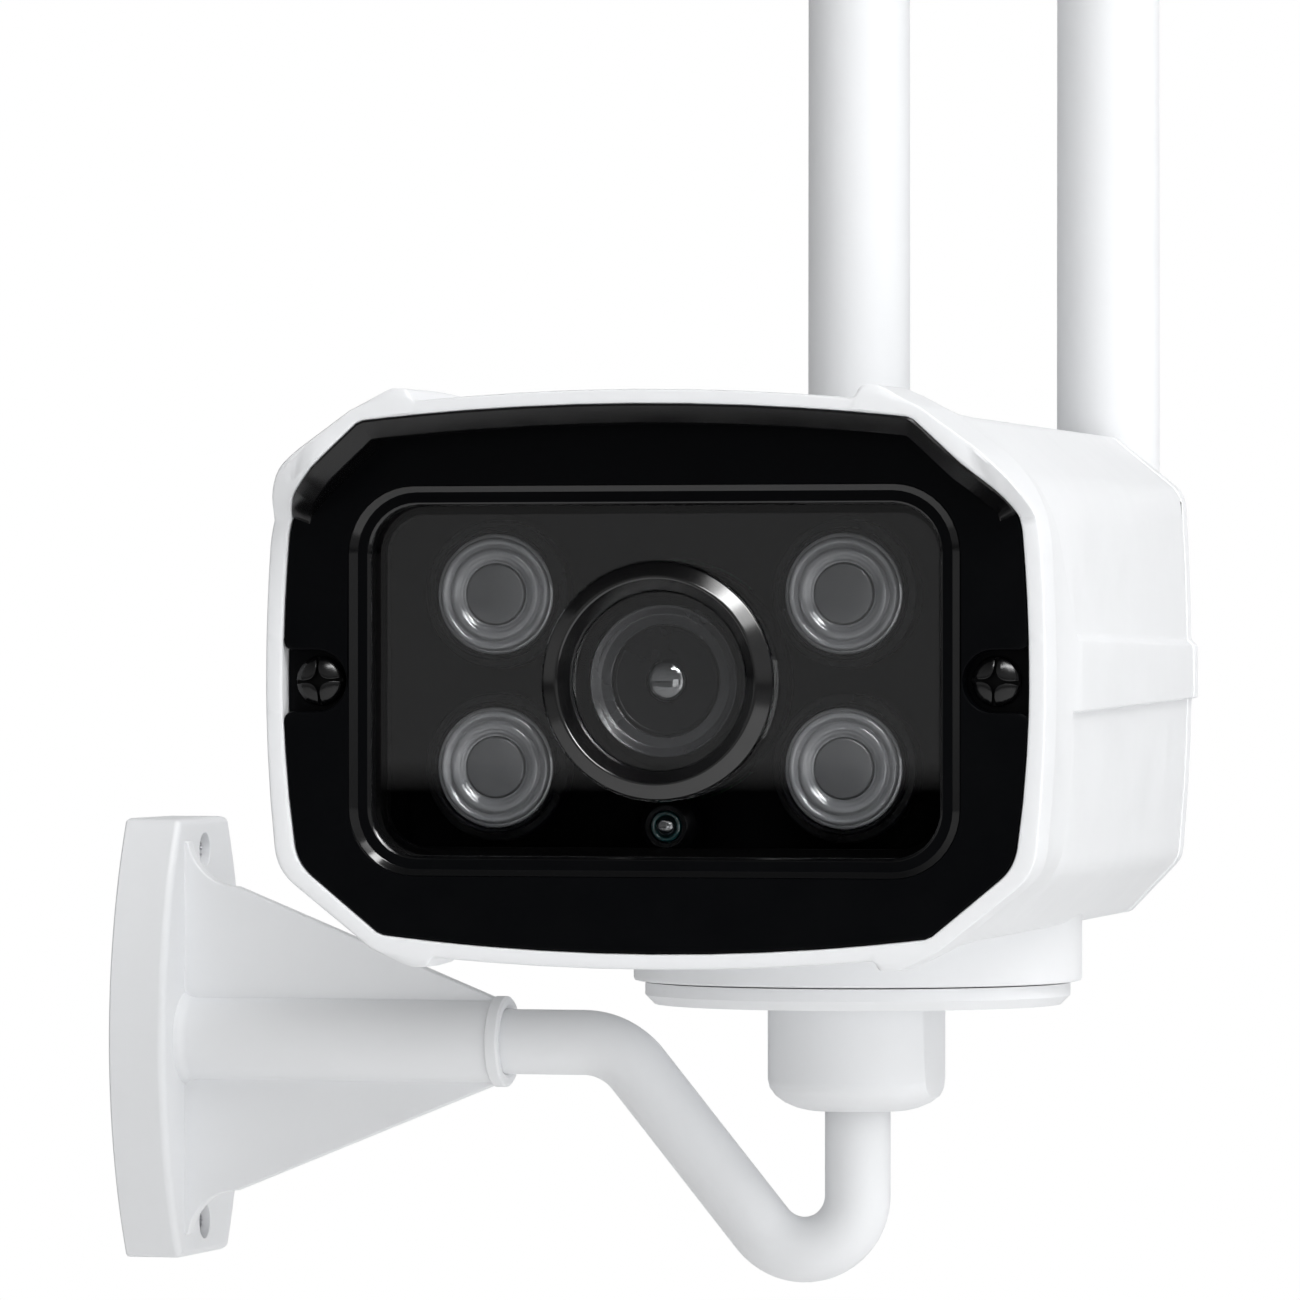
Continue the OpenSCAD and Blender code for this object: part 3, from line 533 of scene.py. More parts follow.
LAMP = Finish("lamp_lens_plastic", Slot.COATED, (0.13, 0.132, 0.137), roughness=0.055, spread=0.015,
              bump=0.0, specular=0.8, ior=1.6)
LAMP_EYE = Finish("lamp_eye_plastic", Slot.COATED, (0.044, 0.045, 0.047), roughness=0.35, spread=0.03,
                  bump=0.0, specular=0.8)
TEAL = Finish("sensor_plastic", Slot.COATED, (0.002, 0.016, 0.017), roughness=0.1, spread=0.03, bump=0.0,
              specular=0.8)
PANE = Glass("window_glass", Slot.GLASS, (0.93, 0.94, 0.95), roughness=0.0, ior=1.4, bump=0.0)
COATED = Glass("coated_lens_glass", Slot.COATED, (0.82, 0.86, 0.9), roughness=0.0, ior=1.6, bump=0.0)


# ---- Meshes ------------------------------------------------------------------------------
def linked(name: str, data: bpy.types.ID) -> bpy.types.Object:
    """Makes an object and puts it in the scene.

    Args:
        name: its name.
        data: its mesh, lamp or camera data.

    Returns:
        The object.
    """
    made = bpy.data.objects.new(name, data)
    bpy.context.scene.collection.objects.link(made)
    return made


class Axis(Enum):
    """Direction that a turned piece's height runs along."""

    X = (1.0, 0.0, 0.0)
    Y = (0.0, 1.0, 0.0)
    Z = (0.0, 0.0, 1.0)


class Form:
    """A mesh under construction, in millimetres from an origin of its own."""

    def __init__(self, origin: Vector) -> None:
        """Starts an empty mesh at an origin given in millimetres."""
        self.mesh = bmesh.new()
        self.origin = Vector(origin)

    def ring(self, places: Sequence[Point]) -> Ring:
        """Lays a closed ring.

        Args:
            places: where its points go, in order.

        Returns:
            Its vertices, in the same order.
        """
        made = bmesh.ops.create_circle(self.mesh, segments=len(places), radius=1.0, cap_ends=False)["verts"]
        for vert, place in zip(made, places):
            vert.co = place
        return list(made)

    def edges(self, ring: Ring) -> list[bmesh.types.BMEdge]:
        """Edges of a ring, in order."""
        return [self.mesh.edges.get((a, b)) for a, b in zip(ring, [*ring[1:], ring[0]])]

    def extend(self, ring: Ring, places: Sequence[Point]) -> Ring:
        """Extrudes a ring to new places.

        Args:
            ring: the ring that is extruded.
            places: where its copy's points go, in order.

        Returns:
            The copy's vertices, in the same order.
        """
        made = bmesh.ops.extrude_edge_only(self.mesh, edges=self.edges(ring))["geom"]
        fresh = {item for item in made if isinstance(item, bmesh.types.BMVert)}
        copy = []
        for vert, place in zip(ring, places):
            twin = next(e.other_vert(vert) for e in vert.link_edges if e.other_vert(vert) in fresh)
            twin.co = place
            copy.append(twin)
        return copy

    def cap(self, ring: Ring) -> None:
        """Closes a ring with one face."""
        bmesh.ops.contextual_create(self.mesh, geom=self.edges(ring))

    def fill(self, *rings: Ring) -> None:
        """Fills the flat space between a ring and the rings inside it."""
        edges = [edge for ring in rings for edge in self.edges(ring)]
        bmesh.ops.triangle_fill(self.mesh, use_beauty=True, use_dissolve=False, edges=edges)

    def skin(self, rings: Sequence[Sequence[Point]]) -> tuple[Ring, Ring]:
        """Lays a skin through rings and leaves its ends open.

        Args:
            rings: the rings' points; each ring has as many.

        Returns:
            The first and the last ring's vertices.
        """
        first = last = self.ring(rings[0])
        for places in rings[1:]:
            last = self.extend(last, places)
        return first, last

    def loft(self, rings: Sequence[Sequence[Point]]) -> "Form":
        """Lays a closed solid through rings, with a face on each end.

        Args:
            rings: the rings' points; each ring has as many.

        Returns:
            The form itself.
        """
        first, last = self.skin(rings)
        self.cap(first)
        self.cap(last)
        return self

    def tunnel(self, rings: Sequence[Sequence[Point]]) -> "Form":
        """Lays a closed skin through rings whose last one joins the first.

        Args:
            rings: the rings' points; each ring has as many.

        Returns:
            The form itself.
        """
        first, last = self.skin([*rings, rings[0]])
        bmesh.ops.remove_doubles(self.mesh, verts=[*first, *last], dist=MERGE)
        return self

    def turn(self, profile: Sequence[Flat], axis: Axis = Axis.Y, steps: int = 72,
             centre: Point = (0.0, 0.0, 0.0), closed: bool = False) -> "Form":
        """Turns a profile into a round solid.

        Args:
            profile: (radius, height) of its points.
            axis: direction of the heights.
            steps: parts round the turn.
            centre: a point that height 0 of the axis passes.
            closed: joins the profile's end to its start.

        Returns:
            The form itself.
        """
        along = Vector(axis.value)
        across = Vector(axis.value[2:] + axis.value[:2])
        verts = [self.mesh.verts.new(Vector(centre) + across * r + along * h) for r, h in profile]
        pairs = list(zip(verts, verts[1:])) + ([(verts[-1], verts[0])] if closed else [])
        edges = [self.mesh.edges.new(pair) for pair in pairs]
        made = bmesh.ops.spin(self.mesh, geom=[*verts, *edges], cent=centre, axis=along, dvec=(0, 0, 0),
                              angle=TURN, steps=steps, use_merge=True, use_duplicate=False)
        bmesh.ops.remove_doubles(self.mesh, verts=self.mesh.verts[:], dist=MERGE)
        return self

    def finished(self, name: str, crease: float) -> bpy.types.Mesh:
        """Ends the form as smooth mesh data in metres.

        Args:
            name: the data's name.
            crease: edges sharper than this many degrees stay sharp.

        Returns:
            The mesh data.
        """
        bmesh.ops.remove_doubles(self.mesh, verts=self.mesh.verts[:], dist=MERGE)
        bmesh.ops.recalc_face_normals(self.mesh, faces=self.mesh.faces[:])
        to_metres = Matrix.Scale(MM, 4) @ Matrix.Translation(self.origin)
        bmesh.ops.transform(self.mesh, matrix=to_metres, verts=self.mesh.verts[:])
        for face in self.mesh.faces:
            face.smooth = True
        for edge in self.mesh.edges:
            edge.smooth = edge.calc_face_angle(0.0) < math.radians(crease)
        data = bpy.data.meshes.new(name)
        self.mesh.to_mesh(data)
        self.mesh.free()
        return data

    def place(self, name: str, body: str, finish: Finish, replaces: Sequence[str] = (), crease: float = 35.0,
              bevel: float = 0.0, even: bool = True) -> None:
        """Turns the form into a finished piece.

        Args:
            name: the piece's name.
            body: the CAD body that it rides on.
            finish: its finish.
            replaces: CAD nodes that it stands for.
            crease: edges sharper than this many degrees stay sharp.
            bevel: width of a bevel on the sharp edges.
            even: weights normals by area, so that flat faces look flat.
        """
        data = self.finished(name, crease)
        data.materials.append(finish.material())
        piece = linked(name, data)
        if bevel:
            edge = piece.modifiers.new("edge", "BEVEL")
            edge.width, edge.segments = bevel * MM, 2
            edge.limit_method, edge.angle_limit = "ANGLE", math.radians(crease)
        if even:
            flat = piece.modifiers.new("flat", "WEIGHTED_NORMAL")
            flat.keep_sharp, flat.weight = not bevel, 60
        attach(piece, body)
        if replaces:
            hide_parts(*replaces)
        log.info("%s rides on %s, %d faces", name, body, len(data.polygons))


def carry(node: str, body: str, finish: Finish, bevel: float, crease: float = 35.0) -> None:
    """Stands in for a CAD node with a merged copy of its mesh and softened edges.

    Args:
        node: the CAD node.
        body: the body that it rides on.
        finish: its finish.
        bevel: width of the softening.
        crease: edges sharper than this many degrees are softened.
    """
    form = Form(WALL)
    mesh = form.mesh
    mesh.from_mesh(frame["nodes"][node].data)
    bmesh.ops.transform(mesh, matrix=Matrix.Scale(1 / MM, 4), verts=mesh.verts[:])
    bmesh.ops.remove_doubles(mesh, verts=mesh.verts[:], dist=CAD_MERGE)
    bmesh.ops.dissolve_limit(mesh, angle_limit=math.radians(1.0), verts=mesh.verts[:], edges=mesh.edges[:],
                             use_dissolve_boundaries=False)
    sharp = [e for e in mesh.edges if e.calc_face_angle(0.0) > math.radians(crease)]
    bmesh.ops.bevel(mesh, geom=sharp, offset=bevel, offset_type="OFFSET", segments=2, profile=0.5,
                    affect="EDGES", clamp_overlap=True, material=-1)
    form.place(f"{node}_piece", body, finish, [node], crease=crease)


def dress_nodes(finish: Finish, *nodes: str) -> None:
    """Gives CAD nodes that stay as they are their finish.

    Args:
        finish: the finish.
        *nodes: the nodes.
    """
    for node in nodes:
        data = frame["nodes"][node].data
        data.materials.clear()
        data.materials.append(finish.material())


# ---- Cross-head screws -------------------------------------------------------------------
@dataclass(frozen=True)
class Seat:
    """Where a screw's head sits, and which way it faces along an axis."""

    middle: Point
    axis: Axis = Axis.Y
    facing: int = 1

    def place(self, across: float, up: float, lift: float) -> Point:
        """Place of a point of the head.

        Args:
            across: how far it lies from the middle sideways.
            up: how far it lies above the middle.
            lift: how far it stands out of the seat.

        Returns:
            The place.
        """
        x, y, z = self.middle
        if self.axis is Axis.X:
            return x + self.facing * lift, y + across, z + up
        return x + across, y + self.facing * lift, z + up


@dataclass(frozen=True)
class ScrewHead:
    """Domed head with a wide cross recess, which leaves four petals standing.

    The slots between the petals are as wide as slot. Middle is where the petals' inner corners are
    drawn to, and edge is how soft they and the base are.
    """

    radius: float
    height: float
    recess: float
    slot: float
    middle: float
    edge: float
    steps: int = 10

    def dome(self, x: float, z: float) -> float:
        """Height of the dome over a point of the head."""
        share = min(1.0, math.hypot(x, z) / self.radius)
        return self.height * (1 - 0.5 * share ** 2.6)

    def petal(self) -> list[Flat]:
        """Outline of the petal in the quarter where x and z are positive.

        Returns:
            A clockwise outline, rounded towards the head's middle.
        """
        half, r = self.slot / 2, self.radius * 0.96
        first = math.asin(half / r)
        rim = [(r * math.sin(a), r * math.cos(a)) for a in stops(first, TURN / 4 - first, self.steps)]
        inner = curve((r * 0.86, half), (self.middle, self.middle), (half, r * 0.86), self.steps)
        return [*rim, *inner]

    def add_base(self, form: Form, seat: Seat) -> None:
        """Adds the round base, whose top is the recess's floor.

        Args:
            form: the form that it joins.
            seat: where the head sits.
        """
        floor = self.height - self.recess
        base = circle(self.radius)
        rings = ((base, 0.0), (base, floor * 0.8), (shifted(base, self.edge), floor))
        form.loft([[seat.place(x, z, lift) for x, z in outline] for outline, lift in rings])

    def add_petals(self, form: Form, spin: float, seat: Seat) -> None:
        """Adds the four petals.

        Args:
            form: the form that they join.
            spin: turn of the cross, in degrees.
            seat: where the head sits.
        """
        floor = self.height - self.recess
        for quarter in range(4):
            about = Matrix.Rotation(TURN / 4 * quarter + math.radians(spin), 2)
            outline = [tuple(about @ Vector(p)) for p in self.petal()]
            middle = sum((Vector(p) for p in outline), Vector((0.0, 0.0))) / len(outline)
            rings = [[seat.place(x, z, floor * 0.5) for x, z in outline]]
            for inward, drop, share in ((0.0, 1.0, 0.0), (0.3, 0.3, 0.0), (1.0, 0.0, 0.0), (1.0, 0.0, 0.4),
                                        (1.0, 0.0, 0.75)):
                points = [Vector(p).lerp(middle, share) for p in shifted(outline, self.edge * inward)]
                rings.append([seat.place(x, z, self.dome(x, z) - self.edge * drop) for x, z in points])
            form.loft(rings)


# ---- Camera body -------------------------------------------------------------------------
# Points along the body's outline. A top or bottom stop is (share of the way out to the corner, height of a
# lug there), and a rib step is (height above the rib's edge, how deep the side panel lies there).
TOP_STOPS = [(0.0, 0.0), (0.2, 0.0), (0.4, 0.0), (0.6, 0.0), (0.7, 0.0), (0.765, 0.0), (0.776, 0.06),
             (0.785, 0.4), (0.797, 1.2), (0.806, 1.52), (0.818, 1.66), (0.84, 1.76), (0.86, 1.78),
             (0.876, 1.62), (0.9, 1.3), (0.94, 0.72), (0.985, 0.12)]
BOTTOM_STOPS = [(0.0, 0.0), (0.2, 0.0), (0.4, 0.0), (0.6, 0.0), (0.7, 0.0), (0.775, 0.0), (0.784, 0.06),
                (0.792, 0.35), (0.802, 0.95), (0.811, 1.22), (0.822, 1.3), (0.84, 1.36), (0.86, 1.4),
                (0.876, 1.28), (0.9, 1.08), (0.94, 0.62), (0.985, 0.1)]
DIAGONAL_STOPS = [0.04, 0.12, 0.3, 0.5, 0.7, 0.88]
RIB_TOP_STEPS = [(0.9, 1.0), (0.6, 0.85), (0.3, 0.5), (0.0, 0.15), (-0.3, 0.0)]
RIB_BOTTOM_STEPS = [(0.3, 0.0), (0.1, 0.06), (0.0, 0.5), (-0.12, 0.94), (-0.3, 1.0)]
UPPER_PARTS, LOWER_PARTS = 14, 8


@dataclass(frozen=True)
class Spot:
    """A point of the body's outline, with how deep its side panel lies there."""

    x: float
    z: float
    recess: float = 0.0

    def mirrored(self) -> "Spot":
        """The same spot on the other side."""
        return Spot(-self.x, self.z, self.recess)


@dataclass(frozen=True)
class Section:
    """Crowned eight-sided outline of the body, seen from the front."""

    middle: float
    upper_x: float
    upper_z: float
    upper_cut: float
    lower_x: float
    lower_z: float
    lower_cut: float
    top_x: float
    top_z: float
    bottom_x: float
    bottom_z: float
    crown: float
    keel: float
    rib_top: float = 4.9
    rib_bottom: float = -3.8

    def mix(self, other: "Section", share: float) -> "Section":
        """Outline a share of the way to another."""
        return Section(*(blend(a, b, share) for a, b in zip(astuple(self), astuple(other))))

    def inset(self, depth: float) -> "Section":
        """Outline drawn in on every side.

        Args:
            depth: how far.

        Returns:
            The drawn-in outline.
        """
        return replace(
            self, middle=self.middle - depth, crown=self.crown - depth, keel=self.keel + depth,
            upper_x=self.upper_x - depth, upper_z=self.upper_z - 0.6 * depth,
            lower_x=self.lower_x - depth, lower_z=self.lower_z + 0.6 * depth,
            top_x=self.top_x - 0.7 * depth, top_z=self.top_z - depth,
            bottom_x=self.bottom_x - 0.7 * depth, bottom_z=self.bottom_z + depth)

    def side(self, z: float) -> float:
        """Half width at a height between the side corners."""
        corner_x, corner_z = (self.upper_x, self.upper_z) if z > 0 else (self.lower_x, self.lower_z)
        return self.middle - (self.middle - corner_x) * (z / corner_z) ** 2

    def side_stops(self, start: float, end: float) -> list[Flat]:
        """Stops down the side panel, across its rib.

        Args:
            start: height of the panel's upper end.
            end: height of its lower end.

        Returns:
            (height, how deep the panel lies there) of each.
        """
        top, bottom = self.rib_top, self.rib_bottom
        above, below = top + RIB_TOP_STEPS[0][0], bottom + RIB_BOTTOM_STEPS[-1][0]
        return [*((blend(start, above, share), 1.0) for share in (0.33, 0.67)),
                *((top + step, recess) for step, recess in RIB_TOP_STEPS),
                *((blend(top, bottom, share), 0.0) for share in (0.33, 0.67)),
                *((bottom + step, recess) for step, recess in RIB_BOTTOM_STEPS),
                *((blend(below, end, share), 1.0) for share in (0.3, 0.65))]

    def half(self, lug: float = 0.0, low_lug: float = 0.0) -> list[Spot]:
        """Right half of the outline, from the top's middle round to the bottom's.

        Args:
            lug: share of the upper lugs' height that stands on the outline.
            low_lug: the same of the lower lugs.

        Returns:
            Its spots; their number is the same for every section.
        """
        upper, lower = Vector((self.upper_x, self.upper_z)), Vector((self.lower_x, self.lower_z))
        top, bottom = Vector((self.top_x, self.top_z)), Vector((self.bottom_x, self.bottom_z))
        made = [Spot(top.x * f, self.crown - (self.crown - top.y) * f * f + lug * rise)
                for f, rise in TOP_STOPS]
        start = upper + (top - upper).normalized() * self.upper_cut
        made += [Spot(*top.lerp(start, share)) for share in DIAGONAL_STOPS]
        side_start, side_end = upper.y - self.upper_cut, lower.y + self.lower_cut
        corner = curve(tuple(start), tuple(upper), (self.side(side_start), side_start), UPPER_PARTS)
        made += [Spot(x, z, eased(i / UPPER_PARTS)) for i, (x, z) in enumerate(corner)]
        made += [Spot(self.side(z), z, recess) for z, recess in self.side_stops(side_start, side_end)]
        end = lower + (bottom - lower).normalized() * self.lower_cut
        corner = curve((self.side(side_end), side_end), tuple(lower), tuple(end), LOWER_PARTS)
        made += [Spot(x, z, 1 - eased(i / LOWER_PARTS)) for i, (x, z) in enumerate(corner)]
        made += [Spot(*end.lerp(bottom, 1 - share)) for share in reversed(DIAGONAL_STOPS)]
        made += [Spot(bottom.x * f, self.keel - (self.keel - bottom.y) * f * f - low_lug * rise)
                 for f, rise in reversed(BOTTOM_STOPS)]
        return made

    def ring(self, lug: float = 0.0, low_lug: float = 0.0) -> list[Spot]:
        """Whole outline, clockwise from the top's middle."""
        half = self.half(lug, low_lug)
        return half + [spot.mirrored() for spot in reversed(half[1:-1])]

    def outline(self) -> list[Flat]:
        """Whole outline as plain points."""
        return [(spot.x, spot.z) for spot in self.ring()]


@dataclass
class Shell:
    """White shell with its visor, flared rim, side panels, ribs and round boss.

    Depths are measured back from the front's face. Slant and border are tables of (height, depth) of
    the front edge and of the side panels' front edge. A pair of lugs has (depth at which the lugs
    start to run out, length over which they do).
    """

    rim: Section = Section(48.1, 46.9, 23.7, 7.5, 46.7, -22.8, 2.8, 34.6, 32.4, 34.6, -32.3, 34.5, -34.3)
    mouth: Section = Section(46.0, 44.9, 20.8, 3.5, 44.2, -22.0, 2.4, 33.8, 30.95, 33.9, -30.4, 32.8, -32.5)
    waist: Section = Section(44.1, 43.2, 21.8, 5.0, 42.6, -22.6, 3.0, 32.8, 31.7, 33.4, -31.3, 33.4, -32.8)
    tail: Section = Section(32.2, 31.4, 24.0, 3.0, 31.0, -23.3, 2.5, 21.0, 32.4, 23.0, -31.6, 33.4, -32.6,
                            rib_top=4.4, rib_bottom=-2.75)
    flare_start: float = 3.5
    waist_at: float = 35.0
    wall: float = 2.2
    panel: float = 0.88
    slant: Sequence[Flat] = ((19.45, -2.2), (22.3, -6.8), (24.6, -9.8), (25.6, -10.75), (26.1, -10.8))
    border: Sequence[Flat] = ((-3.9, 30.0), (4.6, 33.4), (21.0, 19.5))
    rim_steps: Sequence[float] = (3.5, 5.0, 6.6, 8.2, 8.8, 9.4, 10.1, 11.2, 12.2, 12.8, 13.4, 14.0, 16.0)
    upper_lugs: Flat = (12.2, 1.8)
    lower_lugs: Flat = (8.4, 1.7)
    seat_at: float = 4.7
    seat_back: float = 8.0
    seat_width: float = 4.0
    boss_radius: float = 29.0
    boss_height: float = 9.0
    boss_rim: float = 4.0
    known: dict[float, list[Spot]] = field(default_factory=dict, repr=False)

    def front(self, z: float) -> float:
        """How far back the front edge lies at a height."""
        return FACE + table(self.slant, z)

    def section(self, y: float) -> Section:
        """Outline at a depth: a flare that runs out by the waist, then a straight taper.

        Args:
            y: the depth.

        Returns:
            The outline.
        """
        behind = y - FACE
        if behind < self.waist_at:
            share = (self.waist_at - max(behind, self.flare_start)) / (self.waist_at - self.flare_start)
            return self.waist.mix(self.rim, share ** 2)
        return self.waist.mix(self.tail, (behind - self.waist_at) / (REAR - FACE - self.waist_at))

    def lugs(self, y: float) -> tuple[float, float]:
        """Shares of the upper and lower lugs' height that stand at a depth; each runs out over a length."""
        upper, lower = (1 - eased((y - FACE - at) / run) for at, run in (self.upper_lugs, self.lower_lugs))
        return upper, lower

    def edge_ring(self, share: float, set_back: float, lug_drop: float = 0.0) -> list[Point]:
        """Ring on the front edge.

        Args:
            share: how far it lies from the mouth towards the rim's outside.
            set_back: how far it lies behind the front.
            lug_drop: how far the lugs fall short of their full height.

        Returns:
            Its points.
        """
        lug = max(0.0, share - lug_drop)
        ring = self.mouth.mix(self.rim, share).ring(lug, lug)
        return [(s.x, self.front(s.z) + set_back, s.z) for s in ring]

    def lane(self, edge: float) -> list[Flat]:
        """Stops along the body's length.

        Args:
            edge: depth of the side panel's front edge.

        Returns:
            (depth, share of the panel's own depth that holds there) of each.
        """
        rim_end, waist, rear = FACE + self.rim_steps[-1], FACE + self.waist_at + 1, REAR - 0.4
        step_down = ((-0.35, 0.12), (0.0, 0.5), (0.35, 0.88), (0.7, 1.0))
        return [*((FACE + step, 0.0) for step in self.rim_steps),
                *((blend(rim_end, edge - 0.7, share), 0.0) for share in (0.3, 0.65, 1.0)),
                *((edge + step, sunk) for step, sunk in step_down),
                *((blend(edge + 0.7, waist, share), 1.0) for share in (0.33, 0.67, 1.0)),
                *((blend(waist, rear, share), 1.0) for share in (0.25, 0.5, 0.75, 1.0))]

    def outside(self, index: int, y: float, sunk: float) -> Point:
        """Point of the outside at a depth.

        Args:
            index: its number in the outline.
            y: the depth.
            sunk: share of the side panel's own depth that holds there.

        Returns:
            The point.
        """
        key = round(y, 4)
        if key not in self.known:
            self.known[key] = self.section(y).ring(*self.lugs(y))
        spot = self.known[key][index]
        sink = self.panel * sunk * spot.recess
        return spot.x - math.copysign(sink, spot.x), y, spot.z

    def body_rings(self) -> list[list[Point]]:
        """Rings of the outside, from the front edge back to the rear edge."""
        lanes = [self.lane(table(self.border, spot.z) + FACE) for spot in self.waist.ring()]
        return [[self.outside(i, *stop) for i, stop in enumerate(row)] for row in zip(*lanes)]

    def level(self, section: Section, inward: float) -> list[Flat]:
        """Outline of a section at the side panels' level, drawn in."""
        ring = section.inset(inward).ring()
        return [(s.x - math.copysign(self.panel * s.recess, s.x), s.z) for s in ring]

    def build_skin(self) -> None:
        """Builds the shell as one closed skin: front edge, outside, rear edge, cavity and seat."""
        steps = ((0.0, 0.35), (0.06, 0.1), (0.2, 0.0, 0.2), (0.78, 0.0, 0.3), (0.93, 0.1, 0.1), (1.0, 0.35))
        front = [self.edge_ring(*step) for step in steps]
        rear, behind = self.section(REAR), FACE + self.seat_back
        seat = self.mouth.inset(self.seat_width).outline()
        inside = [(self.level(rear, 0.3), REAR), (rear.inset(self.wall).outline(), REAR),
                  (self.waist.inset(self.wall).outline(), FACE + self.waist_at),
                  (self.section(behind).inset(self.wall).outline(), behind),
                  (seat, behind), (seat, FACE + self.seat_at)]
        form = Form(LENS)
        form.tunnel([at_depth(self.mouth.outline(), FACE + self.seat_at), *front, *self.body_rings(),
                     *(at_depth(*step) for step in inside)])
        form.place("shell", "camera", WHITE, ["housing_shell"], crease=38)

    def build_boss(self) -> None:
        """Builds the round boss that the swivel head turns under."""
        low = node_low("housing_shell").z - LENS.z
        r = self.boss_radius
        hole, high = width_of("pan_ring") / 2 - self.boss_rim, low + self.boss_height
        profile = [(hole, low + 0.5), (hole + 0.5, low), (r - 0.6, low), (r - 0.15, low + 0.12),
                   (r, low + 0.5), (r, high), (hole, high)]
        form = Form(Vector((PAN.x, PAN.y, LENS.z)))
        form.turn(profile, Axis.Z, steps=128, closed=True).place("shell_boss", "camera", WHITE)

    def build(self) -> None:
        """Builds the shell's pieces."""
        self.build_skin()
        self.build_boss()


@dataclass
class Liner:
    """Gloss black liner inside the visor: a chamfer, then a wall back to the front plate."""

    shell: Shell
    chamfer: float = 2.3
    set_back: float = 0.2
    low_end: float = 19.5
    round_in: float = 0.93

    def build(self) -> None:
        """Builds the liner."""
        mouth = self.shell.mouth.outline()
        outers, lips, inners = (shifted(mouth, inward) for inward in (0.05, 0.3, self.chamfer))
        right = [i for i in range(len(mouth) // 2) if outers[i][1] > self.low_end]
        back = PLATE - 0.02
        rings = []
        for i in [len(mouth) - i for i in reversed(right) if i] + right:
            outer, lip, inner = outers[i], lips[i], inners[i]
            front = min(self.shell.front(outer[1]) + self.set_back, back - 0.3)
            step = min(front + self.chamfer, back - 0.05)
            near = tuple(blend(a, b, self.round_in) for a, b in zip(lip, inner))
            steps = ((outer, back), (outer, front + 0.1), (lip, front),
                     (near, blend(front, step, self.round_in)),
                     (inner, min(step + 0.15, back - 0.02)), (inner, back))
            rings.append([(x, y, z) for (x, z), y in steps])
        Form(LENS).loft(rings).place("visor_lining", "camera", GLOSSY, ["visor_liner"], crease=50)


